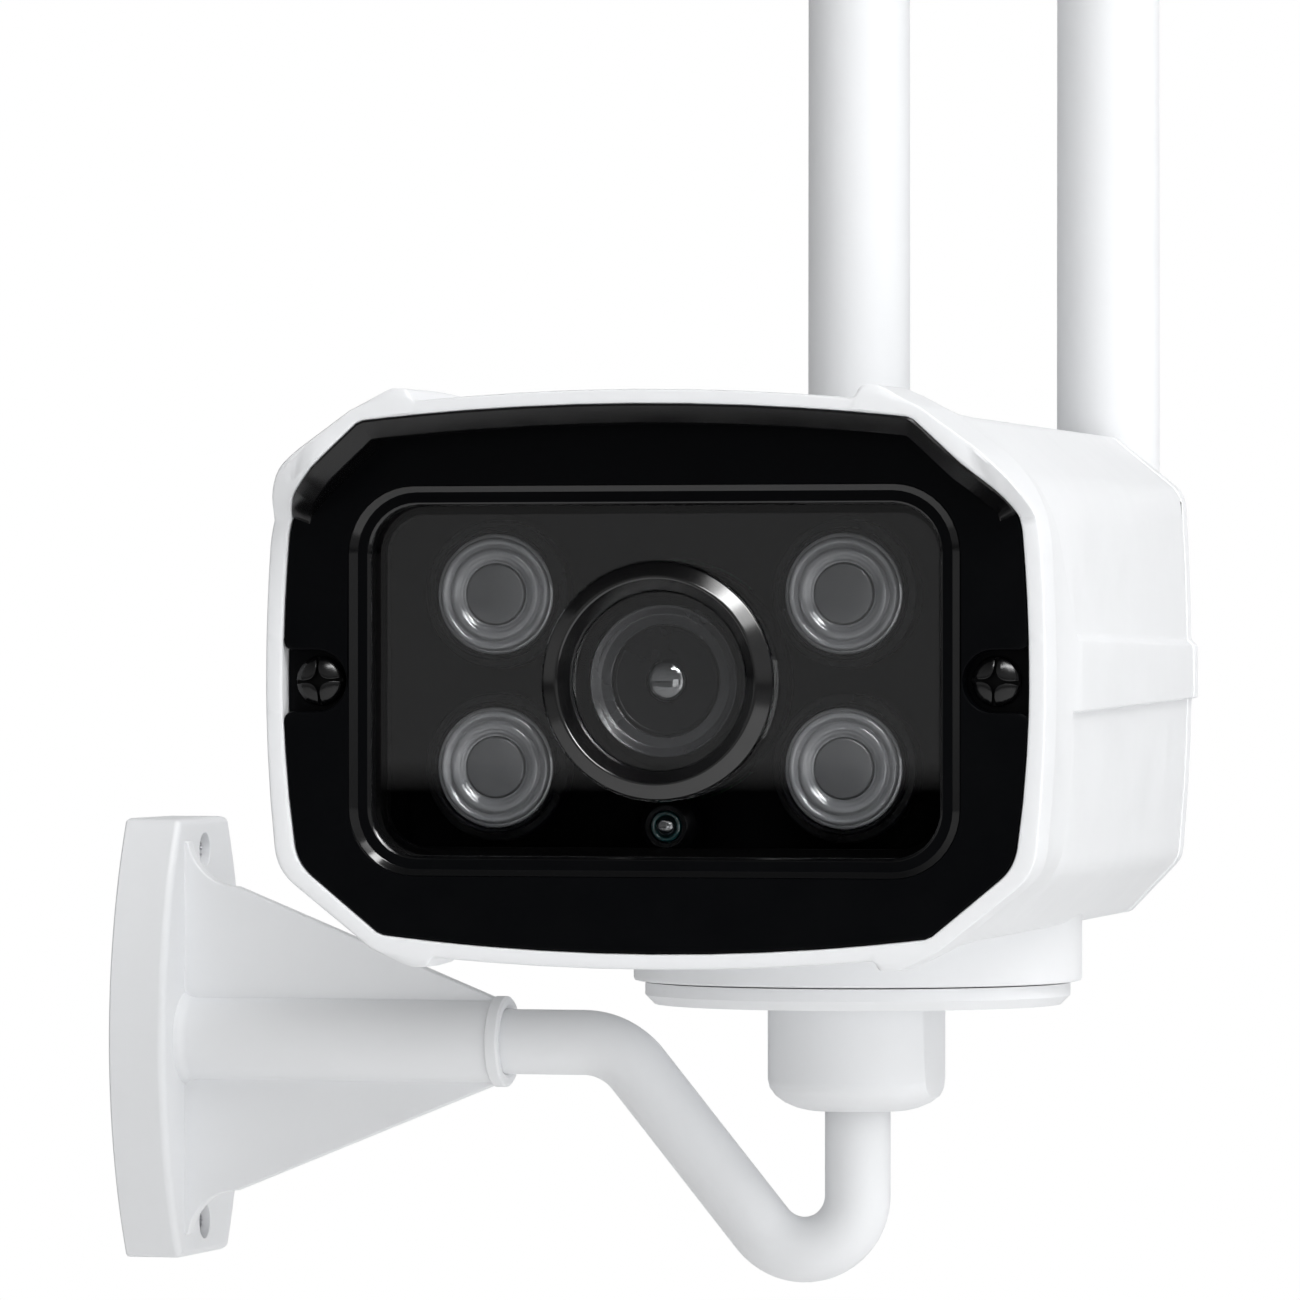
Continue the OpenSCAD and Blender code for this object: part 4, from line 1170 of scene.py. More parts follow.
# ---- Front plate and window --------------------------------------------------------------
@dataclass
class Front:
    """Front plate, its window frame and glass, and the two screws in their notches."""

    shell: Shell
    window: tuple[float, float, float] = (70.2, 41.9, 5.8)
    notch_depth: float = 2.2
    notch_half: float = 3.68
    notch_soft: float = 1.3
    screw_x: float = 41.7
    thickness: float = 5.5
    pane_depth: float = 2.82
    screw: ScrewHead = ScrewHead(radius=3.0, height=1.95, recess=1.3, slot=0.42, middle=-0.3, edge=0.1)

    def frame_ring(self, sides: float, ends: float, depth: float) -> list[Point]:
        """Ring that stands out from the window at its sides and ends, behind the plate's face."""
        w, h, r = self.window
        return at_depth(rounded_box(w + 2 * sides, h + 2 * ends, r + min(sides, ends), 10), PLATE + depth)

    def notched(self) -> list[Flat]:
        """Outline of the plate's front layer, into which the two notches are cut.

        Returns:
            A clockwise outline.
        """
        h, x, soft = self.notch_half, self.screw_x, self.notch_soft
        edge = self.shell.mouth.side(0) - 0.1
        round_end = [(x - h * math.sin(a), h * math.cos(a)) for a in stops(0.0, TURN / 2, 20)]
        right = [*curve((edge, h + soft), (edge, h), (edge - soft, h), 5), *round_end,
                 *curve((edge - soft, -h), (edge, -h), (edge, -h - soft), 5)]
        left = [(-px, pz) for px, pz in reversed(right)]
        made, cut = [], False
        for px, pz in shifted(self.shell.mouth.outline(), 0.1):
            inside = abs(pz) < h + soft + 0.2 and abs(px) > self.window[0] / 2
            if inside and not cut:
                made += right if px > 0 else left
            elif not inside:
                made.append((px, pz))
            cut = inside
        return made

    def build_plate(self) -> None:
        """Builds the plate: a notched front layer on a whole back layer."""
        form = Form(LENS)
        outline, split = self.notched(), PLATE + self.notch_depth
        soft = ((0.0, split - 0.01), (0.0, PLATE + 0.3), (0.09, PLATE + 0.09), (0.3, PLATE))
        back_edge, front_edge = form.skin(stacked(outline, at_depth, soft))
        pocket, opening = form.skin([self.frame_ring(*step) for step in (
            (2.62, 2.4, self.notch_depth - 0.01), (2.62, 2.4, 0.05), (2.67, 2.45, 0.0))])
        form.fill(back_edge, pocket)
        form.fill(front_edge, opening)
        whole = shifted(self.shell.mouth.outline(), 0.12)
        outer, outer_back = form.skin(stacked(whole, at_depth, ((0.0, split), (0.0, PLATE + self.thickness))))
        inner, inner_back = form.skin([self.frame_ring(1.12, 1.12, depth)
                                       for depth in (self.notch_depth, self.thickness)])
        form.fill(outer, inner)
        form.fill(outer_back, inner_back)
        form.place("face_plate", "camera", SATIN, ["front_plate"], crease=24)

    def build_frame(self) -> None:
        """Builds the frame round the window: a chamfer, a flat band, a small chamfer and a wall."""
        depth, floor = self.pane_depth - 0.02, self.notch_depth - 0.02
        rings = {
            "window_frame": ((2.6, 2.38, floor), (2.6, 2.38, 0.08), (2.54, 2.32, 0.0), (2.44, 2.25, 0.03),
                             (1.66, 1.72, 0.44), (1.56, 1.62, 0.48), (1.56, 1.62, floor)),
            "window_band": ((1.56, 1.62, floor), (1.56, 1.62, 0.47), (0.38, 0.38, 0.47), (0.38, 0.38, floor)),
            "window_lip": ((0.38, 0.38, depth), (0.38, 0.38, 0.47), (0.3, 0.3, 0.5), (0.04, 0.04, 0.78),
                           (0.0, 0.0, 0.86), (0.0, 0.0, depth))}
        for name, steps in rings.items():
            form = Form(LENS)
            form.tunnel([self.frame_ring(*step) for step in steps])
            form.place(name, "camera", SATIN if name == "window_band" else FRAME, crease=28)

    def build_shields(self) -> None:
        """Builds the black walls beside the lamp board, which close the view past its ends."""
        w, h = self.window[0] / 2 + 1.15, self.window[1] / 2 + 1.0
        profile = [(w, 3.6), (w + 0.4, 3.6), (w + 0.4, 11.6), (w - 5.0, 11.6), (w - 5.0, 11.2), (w, 11.2)]
        for side, name in ((-1, "left"), (1, "right")):
            outline = [(side * x, FACE + y) for x, y in profile]
            Form(LENS).loft(stacked(outline, at_height, ((0.0, -h), (0.0, h)))).place(
                f"board_shield_{name}", "camera", DARK_BOARD)

    def build_glass(self) -> None:
        """Builds the window glass, with a polished edge and the hole for the lens's trim ring."""
        form = Form(LENS)
        hole = width_of("lens_trim_ring") / 2 + 0.05
        outline = rounded_box(self.window[0] + 1.9, self.window[1] + 1.9, self.window[2] + 0.95, 10)
        front, back = PLATE + self.pane_depth, FACE + 2.8
        ends = [form.skin(stacked(edge, at_depth, ((soft, front), (0.0, front + abs(soft)), (0.0, back))))
                for edge, soft in ((outline, 0.15), (circle(hole, 96), -0.12))]
        for outer, inner in zip(*ends):
            form.fill(outer, inner)
        form.place("window_pane", "camera", PANE, ["window_glass"], crease=30, even=False)

    def build_screws(self) -> None:
        """Builds the two screws, each a dull base with glossy petals."""
        for side, name, spin in ((-1, "left", 3.0), (1, "right", -4.0)):
            base, petals = Form(LENS), Form(LENS)
            seat = Seat((side * self.screw_x, PLATE + self.notch_depth, 0.0), facing=-1)
            self.screw.add_base(base, seat)
            self.screw.add_petals(petals, spin, seat)
            base.place(f"face_screw_{name}_base", "camera", INNER, crease=40)
            petals.place(f"face_screw_{name}", "camera", GLOSSY, ["front_screws"], crease=40)

    def build(self) -> None:
        """Builds the front's pieces."""
        self.build_plate()
        self.build_frame()
        self.build_shields()
        self.build_glass()
        self.build_screws()
        dress_nodes(RUBBER, "front_gasket")
        dress_nodes(DARK_BOARD, "window_gasket")


# ---- Lens, lamps and light sensor --------------------------------------------------------
@dataclass
class Optics:
    """Trim ring with its own small window, lens barrel, four lamps and the light sensor."""

    lamps: Flat = (21.6, 10.4)
    lamp_radius: float = 7.3
    sensor: Flat = (0.0, -17.4)
    board: float = 9.4

    def build_lens(self) -> None:
        """Builds the trim ring, its window, and the barrel with its front element."""
        ring = [(14.25, self.board), (10.8, self.board), (10.8, 1.62), (10.83, 1.42), (10.92, 1.22),
                (11.04, 1.03), (12.08, -0.36), (12.16, -0.47), (12.27, -0.55), (12.4, -0.57), (12.54, -0.53),
                (12.66, -0.46), (14.02, 0.37), (14.14, 0.46), (14.22, 0.58), (14.25, 0.72)]
        self.turned(ring, closed=True).place("trim_ring", "camera", TRIM, ["lens_trim_ring"], crease=40)
        pane = [(0.0, 1.6), (10.6, 1.6), (10.75, 1.7), (10.75, 2.6), (0.0, 2.6)]
        self.turned(pane).place("lens_pane", "camera", PANE, ["lens_window"], crease=30, even=False)
        barrel = [(0.0, 6.9), (2.5, 6.9), (2.5, 5.3), (2.6, 5.19), (2.75, 5.14), (6.1, 4.85), (6.2, 4.78),
                  (6.42, 4.78), (6.52, 4.88), (6.66, 4.9), (6.66, 17.3), (6.0, 17.35), (6.0, 32.3),
                  (0.0, 32.3)]
        self.turned(barrel).place("barrel", "camera", BARREL, ["lens_barrel"], crease=28)
        band = [(6.72, 6.9), (6.72, 4.62), (6.8, 4.55), (7.9, 4.5), (8.02, 4.44), (8.4, 4.08), (8.85, 3.58),
                (9.0, 3.5), (9.12, 3.58), (9.12, 6.9)]
        self.turned(band, closed=True).place("barrel_band", "camera", BAND, crease=28)
        dome = [(2.45 * math.sin(a), 5.35 - 1.15 * math.cos(a)) for a in stops(0.0, TURN / 4, 12)]
        self.turned([*dome, (2.45, 6.8), (0.0, 6.8)]).place(
            "front_element", "camera", ELEMENT, ["lens_front_element"], crease=40)

    def turned(self, profile: Sequence[Flat], closed: bool = False, at: Flat = (0.0, 0.0)) -> Form:
        """Form turned from a profile of (radius, depth behind the plate's face), about a place."""
        rows = [(r, FACE + d) for r, d in profile]
        return Form(LENS).turn(rows, Axis.Y, 96, (at[0], 0.0, at[1]), closed)

    def build_lamps(self) -> None:
        """Builds the four lamps, each a stepped moulded lens round a flat eye, in a round holder."""
        r = self.lamp_radius
        eye = [(0.0, 6.15), (3.4, 6.15), (3.52, 6.2), (3.62, 6.32), (3.66, 6.5), (3.66, 8.0), (0.0, 8.0)]
        lens = [(3.74, 8.1), (3.74, 6.6), (3.92, 6.6), (4.05, 6.48), (4.2, 6.3), (4.4, 6.24), (4.52, 6.15),
                (4.7, 5.98), (5.0, 5.9), (5.25, 5.92), (5.4, 6.04), (5.52, 6.24), (5.65, 6.32), (5.8, 6.22),
                (6.0, 5.95), (6.2, 5.8), (6.45, 5.78), (6.62, 5.9), (6.75, 6.15), (6.85, 6.4), (7.1, 6.45),
                (7.2, 6.5), (r, 6.65), (r, 8.1)]
        holder = [(r + 0.1, 6.3), (r + 0.1, 5.75), (r + 0.2, 5.62), (7.75, 5.62), (7.9, 5.78), (7.95, 6.6),
                  (8.7, 6.7), (8.9, 6.9), (8.9, self.board), (3.2, self.board), (3.2, 8.2), (r + 0.1, 8.2)]
        for x, side in ((-1, "left"), (1, "right")):
            for z, level in ((-1, "lower"), (1, "upper")):
                at, name = (x * self.lamps[0], z * self.lamps[1]), f"{level}_{side}"
                self.turned(eye, at=at).place(
                    f"lamp_eye_{name}", "camera", LAMP_EYE, ["lamp_lenses"], crease=50)
                self.turned(lens, True, at).place(f"lamp_lens_{name}", "camera", LAMP, crease=45)
                self.turned(holder, True, at).place(
                    f"lamp_holder_{name}", "camera", INNER, ["lamp_holders"], crease=30)

    def build_sensor(self) -> None:
        """Builds the light sensor under the lens: a small dome in a tinted ring."""
        at = self.sensor
        dome = [(1.2 * math.sin(a), 5.2 - 0.95 * math.cos(a)) for a in stops(0.0, TURN / 4, 10)]
        self.turned([*dome, (1.25, 5.4), (1.25, self.board), (0.0, self.board)], at=at).place(
            "sensor_dome", "camera", ELEMENT, ["light_sensor"], crease=40)
        rim = [(1.57 + 0.27 * math.cos(a), 5.1 - 0.27 * math.sin(a)) for a in stops(0.0, TURN / 2, 12)]
        self.turned([*rim, (1.3, 7.0), (1.84, 7.0)], True, at).place("sensor_ring", "camera", TEAL, crease=40)
        holder = [(1.9, 5.4), (2.0, 5.1), (2.55, 5.02), (2.75, 5.2), (3.45, 6.4), (3.45, self.board),
                  (1.9, self.board)]
        self.turned(holder, True, at).place(
            "sensor_holder", "camera", INNER, ["light_sensor_holder"], crease=30)

    def build(self) -> None:
        """Builds the optics and dresses the parts that stay as they are."""
        self.build_lens()
        self.build_lamps()
        self.build_sensor()
        dress_nodes(DARK_BOARD, "lamp_board")
        dress_nodes(NYLON, "lamp_chips")
        dress_nodes(STEEL, "lamp_board_screws")
        dress_nodes(COATED, "lens_rear_element", "filter_slide", "image_sensor")
        dress_nodes(SATIN, "lens_holder", "filter_frame")


# ---- Inside --------------------------------------------------------------------------------
@dataclass
class Internals:
    """Boards and their parts inside the shell, which stay as the frame has them."""

    def build(self) -> None:
        """Dresses the nodes."""
        for finish, nodes in (
                (BOARD, ("sensor_board", "main_board")), (GOLD, ("sensor_standoffs", "board_standoffs")),
                (NYLON, ("sensor_ribbon", "board_sockets", "pan_washer")), (SATIN, ("processor",)),
                (STEEL, ("board_screws", "pan_ring", "pan_ring_screws")),
                (ALUMINIUM, ("heat_sink", "radio_module")), (RUBBER, ("antenna_leads", "rear_gasket"))):
            dress_nodes(finish, *nodes)


# ---- Rear cover and gland ----------------------------------------------------------------
@dataclass
class Rear:
    """Rear cover with its screws, and the cable gland.

    A hole has (its radius, the radius of its sink).
    """

    shell: Shell
    screws: Flat = (22.5, 22.5)
    sockets: Flat = (17.5, 12.0)
    screw_sink: float = 1.6
    screw_hole: Flat = (1.4, 2.9)
    socket_hole: Flat = (3.3, 3.3)
    gland_hole: Flat = (6.1, 6.1)
    rim_sink: float = 0.5
    gland_z: float = -14.0
    screw: ScrewHead = ScrewHead(radius=2.6, height=1.6, recess=1.0, slot=0.5, middle=0.25, edge=0.1)

    def corners(self) -> list[Flat]:
        """Places of the four cover screws, from the lens axis."""
        return [(sx * self.screws[0], sz * self.screws[1]) for sx in (-1, 1) for sz in (-1, 1)]

    def build_cover(self) -> None:
        """Builds the cover: a plate with a soft edge and its holes."""
        form = Form(LENS)
        low, high = COVER
        outline = self.shell.level(self.shell.tail, 0.0)
        soft = ((0.15, low), (0.0, low + 0.15), (0.0, high - 0.8), (0.1, high - 0.42), (0.38, high - 0.1),
                (0.8, high))
        rings = [form.skin(stacked(outline, at_depth, soft))]
        holes = [(at, self.screw_hole, self.screw_sink) for at in self.corners()]
        holes += [((side * self.sockets[0], self.sockets[1]), self.socket_hole, self.rim_sink)
                  for side in (-1, 1)]
        holes += [((0.0, self.gland_z), self.gland_hole, self.rim_sink)]
        for at, (bore, sink), depth in holes:
            rings.append(form.skin([
                *stacked(circle(bore, 48, at), at_depth, ((0.0, low), (0.0, high - depth))),
                *stacked(circle(sink, 48, at), at_depth,
                         ((0.0, high - depth + 0.01), (0.0, high - 0.15), (-0.15, high)))]))
        for face in zip(*rings):
            form.fill(*face)
        form.place("back_cover", "camera", WHITE, ["rear_cover"], crease=30)

    def build_screws(self) -> None:
        """Builds the four cover screws, each turned its own way."""
        for number, (x, z) in enumerate(self.corners(), 1):
            form = Form(LENS)
            seat = Seat((x, COVER[1] - self.screw_sink, z))
            self.screw.add_base(form, seat)
            self.screw.add_petals(form, 20.0 * number, seat)
            form.place(f"cover_screw_{number}", "camera", STEEL, ["rear_cover_screws"], crease=40)

    def build(self) -> None:
        """Builds the rear's pieces."""
        self.build_cover()
        self.build_screws()
        for node, finish, bevel in (("gland_body", SATIN, 0.25), ("gland_nut", SATIN, 0.25),
                                    ("gland_seal", RUBBER, 0.2), ("antenna_sockets", GOLD, 0.12)):
            carry(node, "camera", finish, bevel)


# ---- Antennas ------------------------------------------------------------------------------
@dataclass
class Antenna:
    """Rod antenna on its swivel base."""

    side: str
    radius: float = 7.0
    chamfer: float = 4.0
    hub_width: float = 6.3

    def build(self) -> None:
        """Builds the rod and its hub, and carries the base and the pin over."""
        node, body, pin = f"antenna_{self.side}", f"rod_{self.side}", middle_of(f"antenna_pin_{self.side}")
        top, r, half = node_high(node).z - pin.z, self.radius, self.hub_width / 2
        rod = [(0.0, 6.2), (5.2, 6.2), (5.45, 6.45), (r - 0.15, 8.85), (r, 9.3), (r, 20.0),
               (r - 0.06, top - 60), (r - 0.12, top - self.chamfer - 0.6), (r - 0.3, top - self.chamfer),
               (r - 2.95, top - 0.35), (r - 3.3, top - 0.08), (r - 3.8, top), (0.0, top)]
        Form(pin).turn(rod, Axis.Z, 96).place(f"rod_{self.side}_piece", body, WHITE, crease=24)
        side_view = [(-4.3, 1.5), (-4.3, 7.0), (4.3, 7.0), (4.3, 1.5)]
        side_view += [(4.8 * math.cos(a), 4.8 * math.sin(a)) for a in stops(TURN, TURN / 2, 24)]
        soft = ((0.3, -half), (0.0, -half + 0.3), (0.0, half - 0.3), (0.3, half))
        Form(pin).loft(stacked(side_view, at_reach, soft)).place(
            f"rod_{self.side}_hub", body, WHITE, [node], crease=30)
        carry(f"antenna_base_{self.side}", f"socket_{self.side}", WHITE, 0.3)
        carry(f"antenna_pin_{self.side}", f"socket_{self.side}", STEEL, 0.2)


# ---- Swivel head ---------------------------------------------------------------------------
@dataclass
class SwivelHead:
    """Ball cup with its flat and slot, and the disc under the camera."""

    def build(self) -> None:
        """Builds the head."""
        carry("swivel_head", "head", WHITE, 0.22, crease=30)
        dress_nodes(SATIN, "ball_retainer")
        dress_nodes(STEEL, "tilt_lock_screw", "arm_ball")


# ---- Arm -----------------------------------------------------------------------------------
@dataclass
class Arm:
    """Bent tube between the wall bracket and the ball."""

    radius: float = 4.25
    wall: float = 1.2
    upper_bend: float = 9.4
    lower_bend: float = 7.2
    lower_z: float = -19.3
    slope: float = 50.7

    def route(self) -> list[tuple[Vector, Vector]]:
        """Centre line of the tube.

        Returns:
            (place, direction) of each ring along it.
        """
        lean, high, low = math.radians(self.slope), self.upper_bend, self.lower_bend
        low_x = PAN.x - low
        high_x = low_x - (high + low - (high + self.lower_z) * math.cos(lean)) / math.sin(lean)
        along = Vector((1, 0, 0))
        made = [(Vector((x, 0, 0)), along) for x in stops(node_low("arm_tube").x, high_x, 6)[:-1]]
        for a in stops(0.0, lean, 15):
            made.append((Vector((high_x + high * math.sin(a), 0, high * (math.cos(a) - 1))),
                         Vector((math.cos(a), 0, -math.sin(a)))))
        for a in stops(lean, -TURN / 4, 34):
            made.append((Vector((low_x - low * math.sin(a), 0, self.lower_z - low * math.cos(a))),
                         Vector((math.cos(a), 0, -math.sin(a)))))
        made += [(Vector((PAN.x, 0, z)), Vector((0, 0, 1))) for z in stops(self.lower_z, BALL.z + 3, 5)[1:]]
        return made

    def rings(self, radius: float) -> list[list[Point]]:
        """Rings of the tube's skin.

        Args:
            radius: its radius.

        Returns:
            The rings' points.
        """
        side = Vector((0, 1, 0))
        return [[place + (side * x + direction.cross(side) * z) for x, z in circle(radius)]
                for place, direction in self.route()]

    def build(self) -> None:
        """Builds the tube as one closed skin, outside and bore."""
        rings = [*self.rings(self.radius), *reversed(self.rings(self.radius - self.wall))]
        Form(ARM_PLANE).tunnel(rings).place("bent_tube", "arm", WHITE, ["arm_tube"], crease=50)


# ---- Wall bracket --------------------------------------------------------------------------
@dataclass
class WallBracket:
    """Wall plate, sleeve, gusset ribs, collar and the two wall screws.

    The scoop is the ribs' round hollow edge: how far its middle stands from the plate's front, how
    high it lies, and its radius.
    """

    height: float = 58.0
    width: float = 34.5
    thick: float = 7.7
    corner: float = 9.0
    bow: float = 61.66
    screw_pitch: float = 49.3
    sink: float = 2.4
    sink_radius: float = 2.25
    rib: float = 2.2
    scoop: tuple[float, float, float] = (7.4, 27.0, 7.0)
    sleeve_radius: float = 5.5
    sleeve_bore: float = 4.32
    boss_radius: float = 3.4
    screw: ScrewHead = ScrewHead(radius=2.05, height=1.8, recess=1.1, slot=0.4, middle=0.2, edge=0.08)

    def face(self) -> float:
        """How far the plate's front stands from the wall."""
        return node_low("wall_bracket").x + self.thick

    def screw_heights(self) -> Flat:
        """Heights of the lower and the upper wall screw."""
        return -self.screw_pitch / 2, self.screw_pitch / 2

    def half_width(self, z: float) -> float:
        """Half the plate's width at a height.

        Args:
            z: the height.

        Returns:
            Its bowed side, or its round corner where that is narrower.
        """
        flat_end = self.height / 2 - self.corner
        square = self.width / 2
        if abs(z) > flat_end:
            square += math.sqrt(max(0.0, self.corner ** 2 - (abs(z) - flat_end) ** 2)) - self.corner
        return min(square, self.width / 2 - self.bow + math.sqrt(self.bow ** 2 - z * z))

    def outline(self) -> list[Flat]:
        """Outline of the plate in y and z.

        Returns:
            A clockwise outline.
        """
        heights = [self.height / 2 * math.sin(a) for a in stops(TURN / 4, -TURN / 4, 61)]
        right = [(self.half_width(z), z) for z in heights]
        return right + [(-y, z) for y, z in reversed(right)]

    def build_plate(self) -> None:
        """Builds the plate with its round front edge and the recesses for the screws."""
        face, outline, form = self.face(), self.outline(), Form(WALL)
        soft = ((0.25, 0.0), (0.0, 0.25), (0.0, face - 1.0), (0.07, face - 0.62), (0.29, face - 0.3),
                (0.6, face - 0.08), (1.0, face))
        back, front = form.skin(stacked(outline, at_reach, soft))
        form.cap(back)
        loops = [front]
        for z in self.screw_heights():
            hole = circle(self.sink_radius, 40, (0.0, z))
            floor, mouth = form.skin(stacked(hole, at_reach, (
                (0.0, face - self.sink), (0.0, face - 0.2), (-0.06, face - 0.06), (-0.2, face))))
            form.cap(floor)
            loops.append(mouth)
        form.fill(*loops)
        form.place("wall_plate", "bracket", WHITE, ["wall_bracket"], crease=30)

    def build_sleeve(self) -> None:
        """Builds the sleeve and its collar."""
        root, mouth, end = self.face() - 1.0, node_low("sleeve_collar").x, node_high("sleeve_collar").x
        r, bore = self.sleeve_radius, self.sleeve_bore
        sleeve = [(bore, root + 5), (bore, mouth), (r, mouth), (r, root + 2.6), (r + 0.2, root + 1.7),
                  (r + 0.6, root + 1.2), (r + 0.6, root), (0.0, root), (0.0, root + 5)]
        Form(ARM_PLANE).turn(sleeve, Axis.X).place("sleeve", "bracket", WHITE, crease=40)
        collar = [(bore, mouth), (r + 0.25, mouth), (r + 0.45, mouth + 0.2), (r + 0.45, end - 0.3),
                  (r + 0.2, end - 0.05), (bore + 0.5, end), (bore, end - 0.3)]
        Form(ARM_PLANE).turn(collar, Axis.X, closed=True).place(
            "mouth_collar", "bracket", WHITE, ["sleeve_collar"], crease=30)

    def rib_outline(self) -> list[Flat]:
        """Side view of the upper rib in x and z.

        Returns:
            Its points.
        """
        face, mouth = self.face(), node_low("sleeve_collar").x
        x, z, r = self.scoop
        scoop = [(face + x - r * math.cos(a), z - r * math.sin(a))
                 for a in stops(math.radians(8.2), math.radians(88.4), 10)]
        return [(face - 1, 2.0), (face - 1, 26.0), *scoop, (mouth, self.sleeve_radius + 0.2), (mouth, 2.0)]

    def build_ribs(self) -> None:
        """Builds the gusset ribs above and below the sleeve."""
        for name, up in (("upper", 1), ("lower", -1)):
            outline = [(x, up * z) for x, z in self.rib_outline()]
            sides = ((0.0, -self.rib / 2), (0.0, self.rib / 2))
            Form(ARM_PLANE).loft(stacked(outline, at_depth, sides)).place(
                f"rib_{name}", "bracket", WHITE, crease=30, bevel=0.3)

    def build_boss(self) -> None:
        """Builds the lock screw's boss on the sleeve's far side."""
        r = self.boss_radius
        boss = [(0.0, 3.0), (r, 3.0), (r, 8.6), (r - 0.3, 8.95), (2.3, 9.0), (2.05, 8.8), (2.05, 7.0),
                (0.0, 7.0)]
        form = Form(Vector((middle_of("arm_lock_screw").x, ARM_PLANE.y, 0.0)))
        form.turn(boss, Axis.Y, 48).place("lock_boss", "bracket", WHITE, crease=30)
        carry("arm_lock_screw", "bracket", STEEL, 0.12)

    def build_screws(self) -> None:
        """Builds the two wall screws' heads and shanks."""
        low, tip = self.face() - self.sink, node_low("wall_screws").x
        shank = [(0.0, tip), (1.0, tip), (1.2, tip + 0.2), (1.2, low + 0.1), (0.0, low + 0.1)]
        for number, z in enumerate(self.screw_heights(), 1):
            form, seat = Form(WALL), Seat((low, 0.0, z), Axis.X)
            self.screw.add_base(form, seat)
            self.screw.add_petals(form, 12.0 + 33.0 * number, seat)
            form.turn(shank, Axis.X, 32, (0.0, 0.0, z))
            form.place(f"wall_screw_{number}", "bracket", STEEL, ["wall_screws"], crease=40)

    def build(self) -> None:
        """Builds the bracket's pieces."""
        self.build_plate()
        self.build_sleeve()
        self.build_ribs()
        self.build_boss()
        self.build_screws()


# ---- Camera, light and floor -------------------------------------------------------------
@dataclass(frozen=True)
class SoftLamp:
    """Soft lamp that faces the object from a direction, at a distance in metres.

    Its level is how much it lights a white surface that faces it; 1 makes that white. Its width
    and height are in metres, and it is square where it has no height.
    """

    name: str
    level: float
    width: float
    direction: Point
    distance: float
    height: float = 0.0
    glossy: bool = False
    diffuse: bool = True

    def build(self) -> None:
        """Adds the lamp."""
        data = bpy.data.lights.new(self.name, "AREA")
        data.energy = self.level * math.pi ** 2 * self.distance ** 2
        data.shape = "RECTANGLE"
        data.size, data.size_y = self.width, self.height or self.width
        lamp, away = linked(self.name, data), Vector(self.direction).normalized()
        lamp.location = LENS * MM + away * self.distance
        lamp.rotation_euler = (-away).to_track_quat("-Z", "Y").to_euler()
        lamp.visible_glossy, lamp.visible_diffuse = self.glossy, self.diffuse


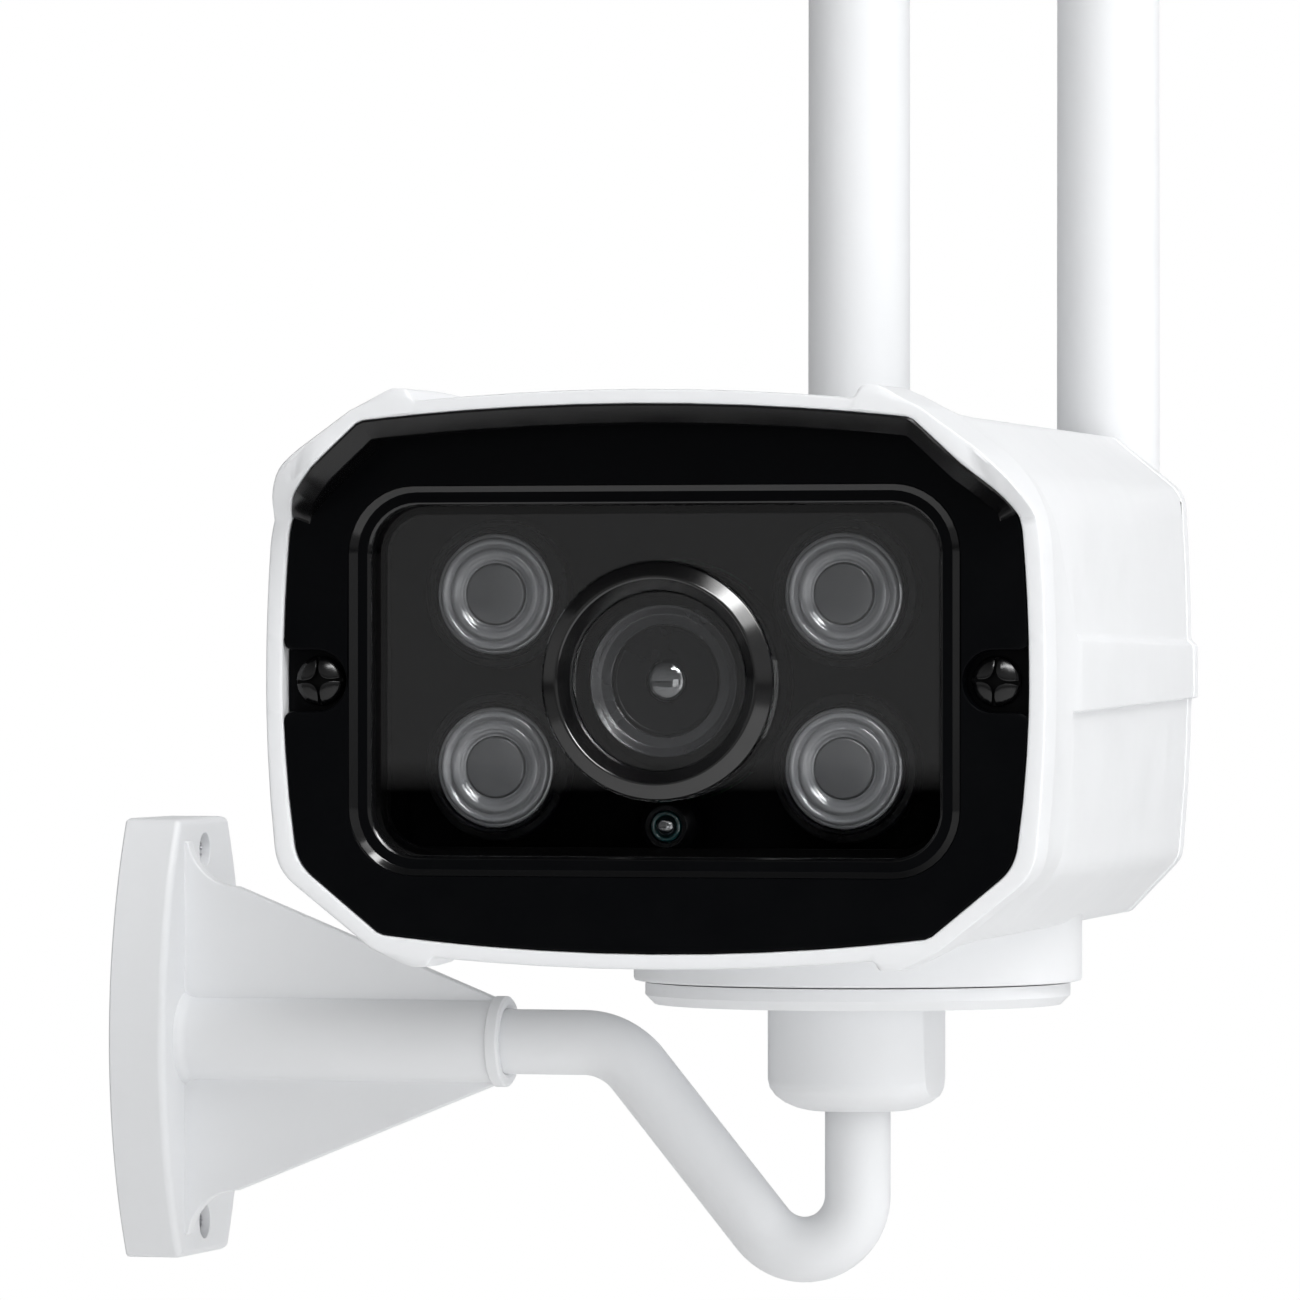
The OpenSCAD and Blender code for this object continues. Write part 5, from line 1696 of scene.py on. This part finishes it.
@dataclass
class Studio:
    """Viewing camera, soft light, and a plain pale floor.

    Horizon, fade and floor_fade are heights of a direction, from -1 straight down to 1 straight up,
    in the sky that glossy surfaces show. Bright, overhead and under are its levels.
    """

    lamps: Sequence[SoftLamp] = (
        SoftLamp("key", 0.71, 1.2, (0.5, -0.42, 0.7), 1.8, glossy=True),
        SoftLamp("side", 0.35, 2.2, (0.95, -0.28, 0.0), 2.0),
        SoftLamp("low_side", 0.11, 0.3, (0.75, -0.6, -0.2), 0.5),
        SoftLamp("front", 0.1, 0.8, (0.35, -1.0, -0.12), 2.0),
        SoftLamp("rear", 0.28, 1.2, (0.1, 1.0, 0.05), 2.4),
        SoftLamp("glint_front", 0.55, 1.4, (0.42, -0.6, 0.68), 1.7, 0.25, glossy=True, diffuse=False),
        SoftLamp("glint_top", 0.65, 0.7, (0.67, -0.16, 0.72), 1.7, glossy=True, diffuse=False))
    turn: float = 15.5
    distance: float = 1083.0
    lens: float = 252.0
    eye: float = 3.7
    aside: float = -0.7
    horizon: float = -0.0139
    blur: float = 0.0017
    fade: Flat = (0.2, 0.85)
    floor_fade: Flat = (-0.09, -0.05)
    bright: float = 0.42
    overhead: float = 0.2
    under: float = 0.25
    ambient: float = 0.43
    floor_drop: float = 210.0

    def build_camera(self) -> None:
        """Sets the camera at the viewing angle."""
        angle = math.radians(self.turn)
        facing = Vector((-math.sin(angle), math.cos(angle), 0.0))
        right = Vector((math.cos(angle), math.sin(angle), 0.0))
        target = Vector((LENS.x, LENS.y + FACE, LENS.z + self.eye))
        data = bpy.data.cameras.new("view")
        data.lens = self.lens
        data.sensor_width = 36.0
        data.clip_start, data.clip_end = 0.05, 50.0
        seat = linked("view", data)
        seat.location = (target - facing * self.distance + right * self.aside) * MM
        seat.rotation_euler = (math.radians(90), 0.0, angle)
        bpy.context.scene.camera = seat

    def build_world(self) -> None:
        """Fills the world: white to the eye, soft and even for light, split at the horizon for gloss."""
        world = bpy.data.worlds.new("studio")
        bpy.context.scene.world = world
        world.use_nodes = True
        n = Nodes(world.node_tree)
        path = n.add("ShaderNodeLightPath").outputs
        place = n.add("ShaderNodeTexCoord").outputs["Generated"]
        up = n.add("ShaderNodeSeparateXYZ", {0: place}).outputs[2]
        low = n.ranged(up, (self.horizon - self.blur, self.horizon + self.blur), (0.0, self.bright))
        above = n.maths("MULTIPLY", low, n.ranged(up, self.fade, (1.0, self.overhead)))
        below = n.ranged(up, self.floor_fade, (self.under, 0.0))
        mirrored = n.maths("MAXIMUM", path["Is Glossy Ray"], path["Is Transmission Ray"])
        plain = n.maths("SUBTRACT", 1.0, mirrored)
        ambient = n.ranged(path["Is Camera Ray"], (0.0, 1.0), (self.ambient, 1.0))
        level = n.maths("ADD", n.maths("MULTIPLY", mirrored, n.maths("ADD", above, below)),
                        n.maths("MULTIPLY", plain, ambient))
        n.feed(world.node_tree.nodes["Background"], {"Strength": level, "Color": (1.0, 1.0, 1.0, 1.0)})

    def build_floor(self) -> None:
        """Lays the floor below the object."""
        form = Form(WALL)
        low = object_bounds()[0].z / MM - self.floor_drop
        outline = rounded_box(2000.0, 2000.0, 300.0, 12)
        form.fill(form.ring(at_height([(x + PAN.x, y) for x, y in outline], low)))
        data = form.finished("floor", 35.0)
        paint = bpy.data.materials.new("floor_paint")
        paint.use_nodes = True
        Nodes(paint.node_tree).feed(paint.node_tree.nodes["Principled BSDF"],
                                    {"Base Color": (0.86, 0.86, 0.86, 1.0), "Roughness": 0.9})
        data.materials.append(paint)
        linked("floor", data)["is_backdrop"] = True

    def build(self) -> None:
        """Builds the studio."""
        bpy.context.scene.view_settings.view_transform = "Standard"
        self.build_world()
        for lamp in self.lamps:
            lamp.build()
        self.build_floor()


def main() -> None:
    """Builds the camera and its studio, piece by piece."""
    studio = Studio()
    studio.build_camera()
    shell = Shell()
    for part in (shell, Liner(shell), Front(shell), Optics(), Internals(), Rear(shell), Antenna("left"),
                 Antenna("right"), SwivelHead(), Arm(), WallBracket()):
        log.info("%s", type(part).__name__)
        part.build()
    studio.build()


if __name__ == "__main__":
    logging.basicConfig(level=logging.INFO, format="%(message)s")
    main()
